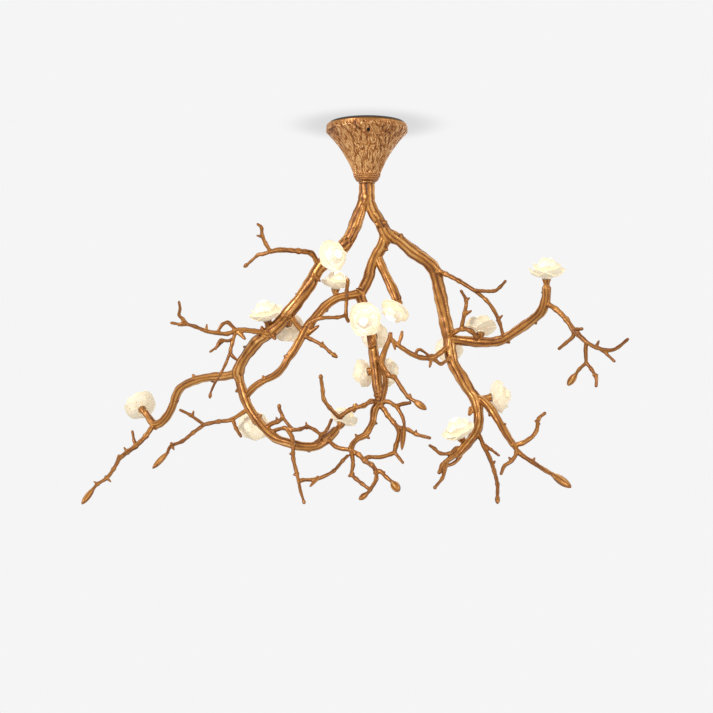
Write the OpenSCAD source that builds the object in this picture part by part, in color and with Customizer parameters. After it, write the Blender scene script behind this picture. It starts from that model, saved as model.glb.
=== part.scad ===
// Branch chandelier: cast limbs, twigs and buds that hang from a trumpet canopy, with lit porcelain flowers.
// Millimetres, +Z up. The origin is the centre of the ceiling plate's upper face, in the ceiling plane.

/* [Ceiling plate] */
// Gap between the ceiling plate's rim and the canopy
plate_gap = 5; // [4:0.5:8]
// Thickness of the ceiling plate
plate_t = 2.5; // [2:0.5:3]
// Diameter of the circle that the ceiling screw holes lie on
ceiling_pcd = 108; // [100:1:112]
// Number of ceiling screw holes
ceiling_holes = 4; // [3:1:4]
// Diameter of each ceiling screw hole
ceiling_hole_d = 5.5; // [4.5:0.5:6]
// Diameter of the hole where the house cable comes through
cable_hole_d = 14; // [10:1:16]
// Width of each tab that takes a canopy screw
tab_w = 12; // [10:1:16]
// Thickness of each tab
tab_t = 3; // [2:0.5:4]
// Distance of the tabs' outer faces from the axis
tab_reach = 56; // [55:0.5:56.5]
// Length of each tab below its screw
tab_end = 4.5; // [4:0.5:5]

/* [Canopy] */
// Diameter of the canopy at the ceiling
canopy_d = 148; // [146:1:160]
// Height of the canopy
canopy_h = 104; // [102:1:120]
// Wall of the canopy
canopy_wall = 3; // [2.5:0.5:3.5]
// Height of the straight band at the canopy's rim
rim_h = 13; // [12:1:16]
// Diameter of the canopy just above its mouth
canopy_neck_d = 42; // [40:1:46]
// Diameter of the canopy's lower face
canopy_lip_d = 31; // [30:1:34]
// Height of the rounded lip between the neck and the lower face
canopy_lip_h = 6; // [5:1:8]
// Diameter of the canopy's mouth
mouth_d = 24; // [20:1:25]
// Diameter of the holes for the canopy screws
canopy_hole_d = 5.6; // [5.4:0.1:7]
// Depth of the canopy screws below the ceiling
canopy_screw_drop = 22; // [20:0.5:22.5]
// Diameter of the canopy screws
canopy_screw_d = 4.8; // [4:0.2:5]
// Distance of the canopy screws' outer ends from the axis
canopy_screw_reach = 62.5; // [61:0.5:63]
// Direction of the first canopy screw, seen from above
canopy_screw_turn = -88; // [-95:1:-85]

/* [Hanger and stem] */
// Drop of the bridge below the ceiling plate
bridge_drop = 49.5; // [48:0.5:52]
// Thickness of the bridge's strap
bridge_t = 3; // [2.5:0.5:4]
// Width of the bridge's strap
bridge_w = 20; // [18:1:22]
// Length of each flange under the plate
bridge_flange = 14; // [12:1:16]
// Clear width between the bridge's legs
bridge_gap = 54; // [50:1:56]
// Outer diameter of the hollow stem
stem_d = 13; // [12:0.5:13.5]
// Bore of the hollow stem
stem_bore = 9; // [7.5:0.5:10]
// Clearance round the stem in the bridge and the collar
stem_clearance = 0.4; // [0.3:0.05:0.8]
// Length of stem that stands above its nut
stem_stand = 1.5; // [1:0.5:2]
// Depth of the stem in the trunk
stem_depth = 18; // [14:1:20]
// Width across the corners of the stem's nut
nut_d = 24; // [22:1:26]
// Height of the stem's nut
nut_h = 7; // [5:1:8]
// Diameter of the washer under the nut
washer_d = 26; // [24:1:28]
// Thickness of the washer
washer_t = 1.5; // [1:0.5:2]
// Running gap between pieces that turn and pieces that stand
running_gap = 0.4; // [0.3:0.1:0.6]
// Diameter of the collar between the canopy and the trunk
collar_d = 30.4; // [29:0.2:32]
// Height of the collar
collar_h = 3; // [2:0.5:5]

/* [Driver and wiring] */
// Length of the driver's case
driver_l = 92; // [80:1:94]
// Width of the driver's case
driver_w = 40; // [34:1:42]
// Height of the driver's case
driver_h = 20; // [16:1:22]
// Corner radius of the driver's case
driver_corner = 3; // [2:0.5:5]
// Length of each screw ear
ear_l = 8; // [7:0.5:9]
// Width of each screw ear
ear_w = 10; // [8:1:12]
// Thickness of each screw ear
ear_t = 2; // [1.5:0.5:2.5]
// Length of the terminal block
terminal_l = 24; // [20:1:26]
// Width of the terminal block
terminal_w = 16; // [14:1:18]
// Height of the terminal block
terminal_h = 12; // [10:1:14]
// Number of poles in the terminal block
terminal_poles = 3; // [2:1:3]
// Diameter of the terminal screws
terminal_screw_d = 3.4; // [3:0.2:4]
// Diameter of the wire entries
wire_entry_d = 3.2; // [2.8:0.2:4]
// Shank diameter of the small plate screws
plate_screw_d = 3; // [2.6:0.2:3.4]
// Head diameter of the small plate screws
plate_screw_head_d = 5.6; // [5:0.2:6.4]
// Head height of the small plate screws
plate_screw_head_h = 2; // [1.6:0.2:2.4]
// Diameter of the leads in the canopy
lead_d = 4.4; // [3.6:0.2:4.8]
// Diameter of the wire bundle in the stem
bundle_d = 6; // [4:0.5:6.5]
// Diameter of the wires in a limb
loom_d = 3.6; // [2.4:0.2:4]
// Diameter of the wire channel in a limb
channel_d = 6.4; // [6:0.2:7]
// Diameter of the wires in a flower's stub
stub_wire_d = 2; // [1.4:0.2:2.2]
// Diameter of the channel in a flower's stub
stub_channel_d = 3.6; // [3.4:0.2:4]

/* [Branches] */
// Thickness of all limbs, as a share of the cast ones
branch_thickness = 1; // [0.95:0.05:1.1]
// How far the far left end sweeps back
left_sweep = 150; // [0:10:180]
// How far the far right end sweeps forward
right_sweep = 120; // [0:10:150]
// How far the lowest twigs sweep forward
bottom_sweep = 90; // [0:10:110]
// Diameter of the cup at the end of a flower's stub
calyx_d = 16; // [15:0.5:17]
// Depth of that cup
calyx_h = 4; // [3:0.5:6]

/* [Lampholders and lamps] */
// Diameter of the lampholder's flange
flange_d = 17; // [16:0.5:18]
// Thickness of the flange
flange_t = 2; // [1.5:0.5:2.5]
// Diameter of the lampholder's barrel
holder_d = 12; // [11:0.5:12.5]
// Height of the barrel above the flange
holder_h = 8; // [7.5:0.5:9]
// Spacing of the lamp's two pins
pin_spacing = 4; // [3.6:0.1:4.4]
// Diameter of a pin
pin_d = 1; // [0.8:0.1:1.1]
// Length of a pin
pin_l = 7; // [6:0.5:7.2]
// Clearance round a pin in its hole
pin_clearance = 0.3; // [0.25:0.05:0.4]
// Diameter of the lamp's ceramic foot
foot_d = 9; // [8:0.5:9.6]
// Height of the ceramic foot
foot_h = 3.5; // [3:0.5:4]
// Diameter of the lamp's capsule
capsule_d = 10; // [9:0.5:11]
// Length of the capsule, its dome included
capsule_l = 19; // [16:1:20]

/* [Flowers] */
// Diameter of a full flower
flower_d = 63; // [58:1:66]
// Height of the outer petals
outer_petal_h = 18; // [15:1:20]
// Height of the inner petals
inner_petal_h = 34; // [30:1:36]
// Diameter of the inner petals at their widest
inner_d = 37; // [34:1:38]
// Wall of a petal
petal_t = 1.8; // [1.6:0.1:2.2]
// Diameter of a flower's foot
flower_foot_d = 20; // [19:0.5:21]
// Height of a flower's foot
flower_foot_h = 2.4; // [2:0.2:3]
// Clearance round the lampholder in a flower's foot
foot_clearance = 0.4; // [0.3:0.1:0.6]
// Number of petals in each row
petals = 5; // [4:1:6]

/* [Hidden] */
// Fineness of round pieces
$fn = 48;
// Fineness of thin limbs and twigs
limb_sides = 8;
twig_sides = 5;
wire_sides = 4;
tip_sides = 4;
stub_sides = 12;

bronze = "peru";
steel = "silver";
porcelain = "ivory";

// The viewer that the branches' heights and widths are given for, at depth 0
view_distance = 2500;
eye_z = -531;
// Height of the trunk's top end in those heights
drawn_neck = -107.4;

canopy_r = canopy_d / 2;
plate_d = canopy_d - 2 * canopy_wall - 2 * plate_gap;
neck_z = -canopy_h - running_gap - collar_h;
strap_top = -plate_t - bridge_drop + bridge_t;
washer_z = strap_top + running_gap;
nut_z = washer_z + washer_t;
stem_top = nut_z + nut_h + stem_stand;
stem_end = neck_z - stem_depth;
flower_seat = flange_t;
holder_top = flange_t + holder_h;
pin_hole_d = pin_d + 2 * pin_clearance;
lamp_seat = holder_top + running_gap;

// ---- How the branches are laid out ----

// How much farther back a point lies than its own depth, so that the tree fills a round space
function sweep_back(x, z) =
    left_sweep * max(0, -x - 150) / 370
    - right_sweep * max(0, x - 200) / 276
    - bottom_sweep * max(0, -z - 540) / 150;

// A point's place from [x, z, depth] as the viewer sees it, with depth counted away from the viewer
function place(p) =
    let(y = p[2] + sweep_back(p[0], p[1]), k = 1 + y / view_distance)
    [p[0] * k, y, eye_z + (p[1] - eye_z) * k + neck_z - drawn_neck];

function unit(v) = v / norm(v);
function heading(ps, i) = unit(ps[min(i + 1, len(ps) - 1)] - ps[max(i - 1, 0)]);
function ring(p, r, dir, sides) =
    let(across = unit(cross(dir, [0.13, 1, 0.07])), up = cross(across, dir))
    [for (k = [0 : sides - 1]) p + r * (cos(360 * k / sides) * across + sin(360 * k / sides) * up)];

// A tube through points ps with radii rs
module tube(ps, rs, sides) {
    last = len(ps) - 1;
    points = [for (i = [0 : last]) each ring(ps[i], rs[i], heading(ps, i), sides)];
    walls = [for (i = [0 : last - 1], k = [0 : sides - 1])
        let(a = i * sides + k, b = i * sides + (k + 1) % sides)
        each [[a, b, b + sides], [a, b + sides, a + sides]]];
    near_end = [for (k = [sides - 1 : -1 : 0]) k];
    far_end = [for (k = [0 : sides - 1]) last * sides + k];
    polyhedron(points, concat(walls, [near_end, far_end]));
}

// A limb from rows of [x, z, depth, radius]
module limb(rows) {
    tube([for (p = rows) place(p)], [for (p = rows) p[3] * branch_thickness], limb_sides);
}

// A twig from [first radius, last radius, points]
module twig(t) {
    ps = [for (p = t[2]) place(p)];
    last = len(ps) - 1;
    tube(ps, [for (i = [0 : last]) (t[0] + (t[1] - t[0]) * i / last) * branch_thickness], twig_sides);
}

// A nub or spur from [first point, last point, radius]
module nub(n) {
    hull() {
        translate(place(n[0])) sphere(n[2] * 1.2, $fn = tip_sides);
        translate(place(n[1])) sphere(n[2] * 0.85, $fn = tip_sides);
    }
}

// A bud from [first point, last point, radius]
module bud(b) {
    hull() {
        translate(place(b[0])) sphere(b[2] * 0.5, $fn = tip_sides);
        translate(place(b[0]) * 0.55 + place(b[1]) * 0.45) sphere(b[2], $fn = 6);
        translate(place(b[1])) sphere(b[2] * 0.3, $fn = tip_sides);
    }
}

// Turns its children into a flower's own frame, whose +Z is the way that the flower faces
module at_flower(f) {
    translate(place(f[2])) rotate([0, f[3], f[4]]) children();
}

// The stub and cup that carry a flower
module stub(f) {
    hull() {
        translate(place(f[1])) sphere(calyx_d * 0.36, $fn = twig_sides);
        at_flower(f) translate([0, 0, -calyx_h]) cylinder(d = calyx_d, h = calyx_h, $fn = stub_sides);
    }
}

// One casting with all that grows on it
module grown(owner, limbs, twigs, nubs, buds) {
    for (rows = limbs) limb(rows);
    for (t = twigs) twig(t);
    for (n = nubs) nub(n);
    for (b = buds) bud(b);
    for (f = flowers) if (f[0] == owner) stub(f);
}

// ---- The flowers: [casting, root on its limb, base, tilt from +Z, turn from +X, size] ----
flowers = [
    ["left_outer_limb", [-397, -533, 56], [-409, -519, 62], 60, 115, 1],
    ["left_limb", [-68, -243, -8], [-71, -243, -27], 81, -55, 0.9],
    ["centre_left_limb", [-54, -316, 22], [-57, -299, 22], 12, -60, 0.85],
    ["left_limb", [-180, -378, 6], [-182, -356, -2], 24, -120, 1],
    ["left_limb", [-146, -347, 1], [-144, -362, 25], 114, 92, 1],
    ["centre_limb", [-4, -345, 24], [-2, -350, 4], 108, -98, 1],
    ["centre_limb", [54, -317, 0], [57, -328, -2], 143, -142, 0.85],
    ["centre_limb", [8, -383, 20], [12, -386, 36], 84, 72, 0.8],
    ["centre_limb", [16, -448, 12], [4, -450, 19], 102, 146, 0.8],
    ["centre_limb", [17, -450, 12], [29, -449, 26], 96, 52, 0.8],
    ["left_lower_limb", [-57, -557, 19], [-47, -545, 24], 30, 45, 0.8],
    ["left_lower_limb", [-203, -534, 7], [-202, -541, 25], 120, 104, 1],
    ["right_branch", [206, -396, 2], [207, -381, 12], 27, 84, 0.95],
    ["right_limb", [151, -402, 19], [151, -404, 37], 108, 90, 0.8],
    ["right_branch", [327, -299, -49], [327, -281, -54], 8, -90, 1],
    ["lower_right_limb", [198, -500, -3], [226, -497, 6], 84, 12, 1],
    ["right_limb", [181, -582, -24], [171, -570, -32], 28, -140, 1],
];
flower_names = [for (i = [1 : len(flowers)]) str("flower_", i < 10 ? "0" : "", i)];
lamp_names = [for (i = [1 : len(flowers)]) str("lamp_", i < 10 ? "0" : "", i)];

// ---- The castings: limbs as [x, z, depth, radius] ----
trunk_ways = [
    [[0, -107.4, 0, 13.7], [0, -121, 0, 14], [-1, -136, 0, 15.5], [-2, -146, 0, 14]],
    [[-3, -132, 0, 10], [-13, -158, 0, 11.5], [-22, -184, -2, 12], [-33, -208, -4, 12], [-42, -220, -5, 12]],
    [[3, -132, 0, 9.5], [11, -157, 0, 11], [24, -177, 1, 11.5], [35, -199, 2, 12.5], [40, -205, 3, 11]],
];
trunk_nubs = [
    [[22, -180, -2], [38, -176, -6], 5],
    [[-2, -128, -8], [-6, -146, -13], 3.5],
    [[-2, -128, 8], [2, -150, 14], 3.5],
    [[-18, -172, -8], [-28, -198, -14], 3.5],
    [[18, -168, -8], [29, -190, -9], 3.5],
    [[-12, -150, 8], [-26, -192, 8], 3.5],
    [[20, -172, 8], [33, -194, 12], 3.5],
    [[-33, -205, -2], [-44, -204, 4], 4],
];

left_limb_ways = [
    [
        [-36, -212, -5, 11.5], [-48, -228, -6, 12], [-68, -243, -8, 12], [-88, -262, -8, 12],
        [-104, -290, -6, 11.5], [-125, -321, -4, 11.5], [-143, -343, 0, 12], [-161, -364, 4, 12],
        [-179, -379, 6, 12], [-199, -394, 8, 11.5], [-212, -410, 10, 11], [-221, -422, 11, 10.5],
        [-231, -439, 12, 10.5], [-235, -454, 14, 11.5], [-233, -463, 14, 9],
    ],
];
left_limb_twigs = [
    [5.5, 4.6, [[-91, -250, -12], [-102, -234, -18], [-125, -230, -35], [-159, -228, -62], [-176, -231, -80]]],
    [4, 2.8, [[-176, -231, -80], [-186, -215, -88], [-192, -200, -96], [-193, -187, -102], [-200, -181, -108]]],
    [3.8, 2.8, [[-176, -231, -80], [-192, -236, -84], [-199, -237, -84], [-217, -253, -84]]],
    [5, 4.5, [[-179, -379, 2], [-207, -376, -16], [-224, -374, -26], [-239, -374, -34]]],
    [3.6, 3, [[-239, -374, -34], [-249, -364, -40], [-254, -360, -44], [-264, -364, -50], [-272, -377, -54]]],
    [4.2, 3.4, [[-239, -374, -34], [-255, -381, -44], [-277, -379, -56], [-293, -376, -62], [-313, -368, -70],
        [-327, -364, -78]]],
    [3.4, 2.6, [[-327, -364, -78], [-336, -354, -84], [-343, -347, -90], [-341, -335, -94], [-343, -323, -98]]],
    [3.4, 2.8, [[-327, -364, -78], [-339, -364, -84], [-357, -361, -92]]],
    [3.6, 2.8, [[-239, -374, -34], [-246, -400, -38], [-249, -412, -40], [-245, -422, -40], [-238, -428, -38]]],
    [3, 2.4, [[-243, -389, -36], [-254, -394, -44], [-267, -392, -50], [-272, -400, -54], [-276, -409, -58]]],
    [2.8, 2.3, [[-262, -394, -48], [-274, -405, -46], [-286, -414, -44]]],
    [3, 2.3, [[-249, -412, -40], [-257, -434, -42], [-267, -454, -44], [-277, -470, -46], [-285, -488, -46]]],
];
left_limb_nubs = [
    [[-293, -374, -62], [-292, -362, -64], 2.6],
    [[-231, -381, -32], [-221, -392, -36], 4],
    [[-190, -378, 0], [-192, -366, -10], 4],
    [[-163, -364, 0], [-151, -348, -12], 4],
    [[-175, -381, 6], [-166, -392, -6], 4.5],
    [[-214, -408, 16], [-226, -404, 20], 4],
    [[-122, -318, 6], [-130, -306, 10], 4],
    [[-96, -276, -16], [-84, -286, -20], 3.6],
    [[-192, -204, -94], [-203, -201, -94], 2.6],
    [[-335, -358, -84], [-345, -368, -88], 2.4],
];
left_limb_buds = [
    [[-217, -253, -84], [-226, -260, -86], 3.6],
    [[-285, -488, -46], [-287, -500, -46], 3.2],
];

left_outer_limb_ways = [
    [
        [-233, -452, 14, 9], [-257, -458, 18, 8.8], [-285, -460, 24, 8.2], [-312, -466, 30, 8],
        [-337, -478, 36, 8.2], [-347, -493, 40, 8], [-353, -511, 44, 8], [-362, -529, 48, 8],
        [-376, -544, 52, 8.4], [-388, -545, 54, 8], [-398, -532, 56, 6.5], [-403, -525, 58, 6.4],
    ],
];
left_outer_limb_twigs = [
    [5.4, 4.4, [[-388, -546, 54], [-402, -567, 47], [-421, -586, 36], [-437, -597, 24], [-451, -609, 12]]],
    [4.2, 3.2, [[-451, -609, 12], [-462, -628, 0], [-474, -644, -12], [-491, -655, -24], [-499, -664, -30]]],
    [3.2, 2.8, [[-421, -584, 36], [-424, -576, 32], [-427, -559, 28]]],
];
left_outer_limb_nubs = [
    [[-451, -607, 12], [-456, -616, 20], 4.4],
    [[-437, -597, 24], [-443, -587, 22], 2.8],
    [[-474, -644, -12], [-466, -652, -14], 2.6],
    [[-312, -463, 30], [-318, -454, 26], 4],
    [[-353, -508, 44], [-342, -502, 38], 4],
    [[-285, -463, 24], [-278, -470, 30], 4],
    [[-379, -546, 52], [-386, -557, 58], 4],
    [[-491, -655, -24], [-499, -650, -26], 2.4],
];
left_outer_limb_buds = [
    [[-499, -664, -30], [-521, -693, -46], 5.6],
];

left_lower_limb_ways = [
    [
        [-234, -457, 14, 9.5], [-231, -470, 14, 9.2], [-224, -494, 12, 9], [-217, -512, 10, 9],
        [-208, -527, 8, 9], [-195, -543, 6, 8.8], [-181, -559, 4, 8.6], [-164, -573, 3, 8.6],
        [-144, -580, 2, 8.6], [-122, -586, 4, 8.6], [-99, -587, 8, 9], [-81, -578, 12, 9.4],
        [-66, -567, 16, 9.6], [-57, -557, 19, 8],
    ],
];
left_lower_limb_twigs = [
    [4.6, 3.4, [[-185, -552, 4], [-172, -544, -8], [-162, -541, -12], [-154, -533, -14], [-160, -518, -14]]],
    [3.2, 2.8, [[-154, -533, -14], [-144, -546, -12], [-133, -557, -8]]],
    [3.8, 3.2, [[-178, -560, 2], [-151, -553, -14], [-133, -556, -20], [-122, -555, -22], [-109, -551, -22],
        [-96, -556, -20], [-84, -564, -12], [-73, -556, -8], [-65, -538, -8]]],
    [3.4, 3, [[-84, -564, -12], [-88, -577, -2]]],
    [4.4, 3.4, [[-147, -554, -15], [-137, -569, -20], [-135, -586, -26], [-135, -608, -30], [-130, -630, -32],
        [-125, -652, -34]]],
    [3.2, 2.6, [[-125, -652, -34], [-122, -668, -38], [-117, -684, -42]]],
    [3.6, 3.2, [[-125, -653, -34], [-119, -648, -32], [-97, -647, -30], [-81, -642, -26], [-61, -631, -20],
        [-45, -613, -14], [-36, -604, -11]]],
    [4.2, 4, [[-72, -574, 12], [-57, -587, 0], [-44, -591, -6], [-34, -592, -9]]],
    [4.4, 3.6, [[-216, -520, 9], [-225, -524, 6], [-248, -538, -14], [-270, -541, -34], [-290, -545, -54],
        [-297, -547, -60]]],
    [3.4, 2.8, [[-297, -547, -60], [-323, -529, -78], [-341, -520, -90]]],
    [3.8, 3, [[-297, -547, -60], [-318, -562, -76], [-337, -577, -92], [-358, -586, -106], [-365, -599, -112]]],
    [3.8, 3.2, [[-244, -538, -12], [-239, -553, -16], [-230, -568, -20]]],
];
left_lower_limb_nubs = [
    [[-135, -600, -28], [-143, -600, -32], 2.8],
    [[-128, -636, -32], [-136, -639, -34], 2.8],
    [[-93, -647, -30], [-106, -661, -32], 3.2],
    [[-231, -480, 14], [-240, -488, 8], 4],
    [[-163, -540, -12], [-166, -532, -12], 2.8],
    [[-110, -588, 8], [-104, -598, 14], 4],
    [[-202, -536, 6], [-191, -528, 2], 4],
    [[-356, -584, -104], [-352, -594, -108], 2.6],
    [[-318, -530, -76], [-316, -520, -78], 2.4],
    [[-109, -551, -22], [-112, -541, -24], 2.6],
];
left_lower_limb_buds = [
    [[-365, -599, -112], [-393, -628, -126], 5],
    [[-160, -518, -14], [-160, -508, -14], 3.6],
    [[-117, -684, -42], [-115, -692, -44], 3.2],
];

centre_limb_ways = [
    [
        [33, -197, 2, 11.5], [32, -211, 4, 11], [26, -225, 9, 10.4], [16, -240, 15, 10.2],
        [8, -259, 20, 10], [3, -279, 24, 10], [-7, -300, 26, 10.5], [-12, -311, 26, 9.5],
        [-6, -328, 25, 9], [-2, -345, 24, 9], [6, -372, 21, 9], [11, -405, 17, 9.2],
        [14, -430, 14, 9.4], [17, -453, 11, 9.4], [19, -475, 8, 9], [23, -498, 5, 9.4], [25, -509, 4, 9],
    ],
    [[20, -240, 14, 8], [29, -262, 12, 8.2], [38, -281, 9, 8.6], [48, -302, 4, 9], [55, -318, 0, 9]],
    [[43, -378, -12, 3.6], [42, -389, -12, 4.4], [37, -401, -10, 5], [31, -416, -4, 5.5], [27, -434, -2, 5.5],
        [33, -453, -3, 5.2], [34, -474, -2, 5], [30, -492, 0, 5.6], [27, -505, 3, 6]],
];
centre_limb_twigs = [
    [4.6, 3.6, [[20, -424, 6], [40, -456, -16], [50, -460, -24], [63, -480, -32], [75, -496, -40],
        [87, -504, -46]]],
    [3.6, 3.2, [[42, -388, -12], [50, -396, -14], [56, -401, -15], [62, -388, -14], [64, -378, -13]]],
];
centre_limb_nubs = [
    [[80, -499, -42], [78, -489, -44], 2.6],
    [[48, -396, -14], [52, -412, -16], 3],
    [[26, -226, 8], [40, -228, 4], 4],
    [[-10, -306, 22], [-20, -298, 16], 5],
    [[12, -400, 10], [2, -408, 4], 4],
    [[22, -496, 2], [12, -492, -6], 4],
];
centre_limb_buds = [
    [[86, -503, -45], [109, -520, -56], 6],
];

centre_left_limb_ways = [
    [
        [-10, -307, 25, 9], [-35, -312, 23, 8], [-54, -316, 22, 8.2], [-73, -328, 18, 8.5],
        [-89, -345, 12, 8.5], [-106, -366, 6, 9], [-120, -389, 2, 8], [-133, -411, 0, 7.5],
        [-144, -426, 0, 7], [-154, -443, 0, 6.8], [-167, -456, 2, 6.5], [-187, -466, 4, 6.5],
        [-203, -476, 6, 6.5], [-213, -486, 9, 6.5], [-220, -496, 12, 6.5],
    ],
];
centre_left_limb_twigs = [
    [3.8, 3.4, [[-35, -287, -22], [-37, -303, -8], [-37, -318, 12], [-38, -347, 10], [-34, -358, 14]]],
    [3.4, 4, [[-38, -347, 10], [-54, -351, 0], [-81, -352, -4], [-98, -358, 0], [-108, -368, 4]]],
    [4, 3, [[-117, -385, 2], [-102, -391, -8], [-81, -402, -16], [-68, -414, -22], [-56, -423, -28]]],
    [5.2, 5, [[-139, -347, 0], [-135, -354, -1], [-127, -365, 1], [-117, -377, 4]]],
];
centre_left_limb_nubs = [
    [[-104, -378, 2], [-86, -365, -6], 4],
    [[-60, -420, -26], [-54, -424, -29], 4],
    [[-83, -402, -16], [-80, -394, -20], 2.8],
    [[-144, -426, 0], [-152, -420, -4], 4],
    [[-76, -330, 18], [-72, -342, 18], 4.5],
    [[-187, -466, 2], [-190, -456, -2], 3.6],
];
centre_left_limb_buds = [
    [[-35, -287, -22], [-35, -279, -25], 3.6],
];

centre_spray_ways = [
    [
        [25, -503, 4, 7.6], [14, -520, 2, 7.2], [11, -540, 0, 6.6], [5, -553, -2, 6.2],
        [-4, -566, -4, 6.4], [-16, -572, -6, 5.6], [-26, -582, -8, 5.2], [-30, -594, -10, 5.6],
    ],
];
centre_spray_twigs = [
    [4.6, 4.4, [[-30, -594, -10], [-16, -601, -16], [-4, -613, -20], [9, -621, -24], [16, -631, -28]]],
    [4, 3.4, [[16, -631, -28], [16, -647, -34], [6, -664, -38], [0, -672, -40]]],
    [4, 3.4, [[16, -631, -28], [24, -632, -30], [34, -642, -34], [46, -652, -38]]],
    [4, 3.4, [[-30, -594, -10], [-27, -606, -16], [-26, -620, -22], [-28, -637, -28], [-20, -646, -32],
        [-9, -655, -35], [0, -662, -37]]],
    [4.6, 4.4, [[24, -512, 2], [32, -520, -4], [38, -530, -8], [49, -543, -14], [57, -555, -18],
        [58, -569, -20], [53, -584, -22], [50, -597, -22]]],
    [4, 3.8, [[50, -597, -22], [42, -601, -22], [24, -606, -22], [3, -606, -20], [-6, -610, -19]]],
    [3.6, 3, [[50, -597, -22], [65, -616, -26]]],
    [4.2, 3.4, [[57, -551, -18], [75, -556, -28], [89, -564, -36], [114, -571, -48]]],
    [4.2, 3.6, [[26, -506, 2], [40, -505, -4], [52, -512, -12], [65, -509, -26], [78, -507, -38]]],
    [3.8, 3.2, [[52, -512, -12], [58, -520, -20], [65, -533, -28], [68, -546, -32]]],
    [4.6, 3.6, [[22, -506, 2], [8, -504, -8], [-6, -512, -16], [-22, -516, -22], [-32, -520, -26],
        [-46, -530, -28], [-51, -533, -29], [-68, -516, -33], [-79, -500, -37], [-81, -484, -40],
        [-84, -464, -44]]],
];
centre_spray_nubs = [
    [[17, -634, -29], [34, -633, -33], 2.8],
    [[-28, -637, -28], [-35, -642, -30], 3.6],
    [[-22, -514, -22], [-24, -526, -24], 3.6],
    [[-22, -516, -22], [-19, -507, -24], 3.2],
    [[-16, -572, -6], [-22, -563, -8], 3.2],
    [[89, -564, -36], [90, -555, -38], 2.4],
    [[10, -541, 0], [20, -546, 4], 3.4],
    [[-4, -566, -4], [6, -573, 0], 3.4],
];
centre_spray_buds = [
    [[0, -672, -40], [-16, -684, -46], 5],
    [[46, -652, -38], [58, -669, -42], 7.5],
    [[68, -546, -32], [63, -595, -40], 4.6],
    [[-84, -464, -44], [-85, -454, -46], 4],
];

right_limb_ways = [
    [
        [35, -199, 2, 11.2], [47, -204, 4, 11.8], [60, -211, 6, 11.6], [84, -231, 10, 12],
        [111, -250, 14, 12], [125, -268, 18, 12], [131, -294, 20, 12], [137, -325, 22, 11.6],
        [144, -361, 22, 11.6], [149, -385, 20, 11.8], [152, -412, 18, 11], [158, -437, 14, 11],
        [172, -459, 8, 11], [187, -484, 2, 11], [197, -498, -2, 11], [202, -516, -6, 10],
        [204, -538, -10, 9.6], [201, -555, -14, 9.2], [192, -571, -20, 9], [178, -587, -26, 8.2],
        [163, -603, -32, 6.4],
    ],
];
right_limb_twigs = [
    [5, 3.6, [[165, -601, -32], [148, -611, -42], [137, -620, -50], [131, -634, -56]]],
    [4, 3, [[146, -613, -44], [141, -630, -48], [137, -644, -54], [125, -659, -62]]],
    [3.6, 3.2, [[175, -590, -26], [169, -606, -22], [158, -617, -24], [145, -622, -28]]],
    [4, 3, [[172, -590, -26], [162, -590, -36], [151, -599, -46], [133, -599, -58], [122, -590, -66],
        [114, -585, -72]]],
    [4.8, 4, [[128, -264, 14], [144, -272, 2], [169, -285, -14], [196, -302, -28]]],
    [3.8, 2.8, [[196, -302, -28], [230, -303, -46], [242, -296, -54], [252, -285, -62]]],
    [3.8, 3.2, [[196, -302, -28], [217, -319, -26], [232, -339, -20], [242, -361, -14], [248, -384, -9]]],
    [5.2, 4.2, [[147, -404, 14], [135, -415, 4], [118, -425, -2], [97, -424, -8], [80, -417, -12],
        [66, -408, -15], [58, -403, -16]]],
    [3.6, 3.2, [[118, -425, -2], [126, -430, 0], [135, -436, 2], [148, -428, 10]]],
    [2.8, 2.6, [[89, -419, -10], [92, -411, -12], [98, -410, -12], [114, -421, -4]]],
    [4.4, 3.4, [[202, -559, -14], [213, -586, -22], [223, -607, -30], [231, -630, -38], [237, -655, -46],
        [237, -676, -52]]],
    [3, 2.6, [[210, -580, -20], [226, -592, -30], [240, -603, -38]]],
];
right_limb_nubs = [
    [[62, -211, 4], [63, -197, 0], 5],
    [[190, -520, -6], [186, -531, -12], 4.5],
    [[118, -425, -2], [114, -444, -8], 3.4],
    [[229, -618, -34], [234, -612, -36], 2.8],
    [[240, -355, -16], [248, -346, -20], 2.6],
    [[125, -268, 24], [136, -262, 30], 4],
    [[139, -330, 30], [146, -320, 34], 4],
    [[160, -440, 20], [170, -436, 26], 4],
];
right_limb_buds = [
    [[237, -676, -52], [237, -692, -56], 4.2],
    [[125, -659, -62], [121, -664, -64], 3.4],
];

right_branch_ways = [
    [
        [151, -391, 19, 9.5], [181, -394, 10, 9.5], [206, -396, 2, 9.5], [228, -396, -4, 9],
        [248, -391, -8, 8.6], [275, -374, -16, 8.6], [302, -355, -26, 8.6], [319, -338, -36, 8.8],
        [326, -316, -44, 8.6], [327, -297, -50, 8],
    ],
];
right_branch_twigs = [
    [4.6, 4.2, [[153, -384, 10], [163, -376, -2], [175, -372, -10], [190, -376, -14], [200, -388, -8]]],
    [4.2, 3, [[172, -372, -8], [178, -343, -22], [181, -321, -26], [172, -303, -28]]],
    [5, 4.4, [[325, -324, -40], [345, -337, -50], [363, -355, -54], [375, -373, -58], [384, -382, -60],
        [399, -396, -64]]],
    [3.8, 3.2, [[376, -373, -58], [391, -372, -66]]],
    [3.8, 3.2, [[376, -376, -58], [375, -386, -54], [363, -397, -48], [350, -408, -42]]],
    [3.8, 3, [[399, -396, -64], [417, -406, -72], [441, -411, -84], [456, -406, -92], [474, -391, -102]]],
    [3.2, 2.6, [[417, -406, -72], [429, -412, -78], [450, -431, -88]]],
    [4, 3.4, [[399, -396, -64], [398, -412, -62], [399, -434, -58]]],
    [3.4, 3, [[399, -434, -58], [387, -445, -52], [380, -455, -48]]],
    [3.4, 3, [[399, -434, -58], [408, -445, -62], [417, -461, -68], [417, -476, -72]]],
];
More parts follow.
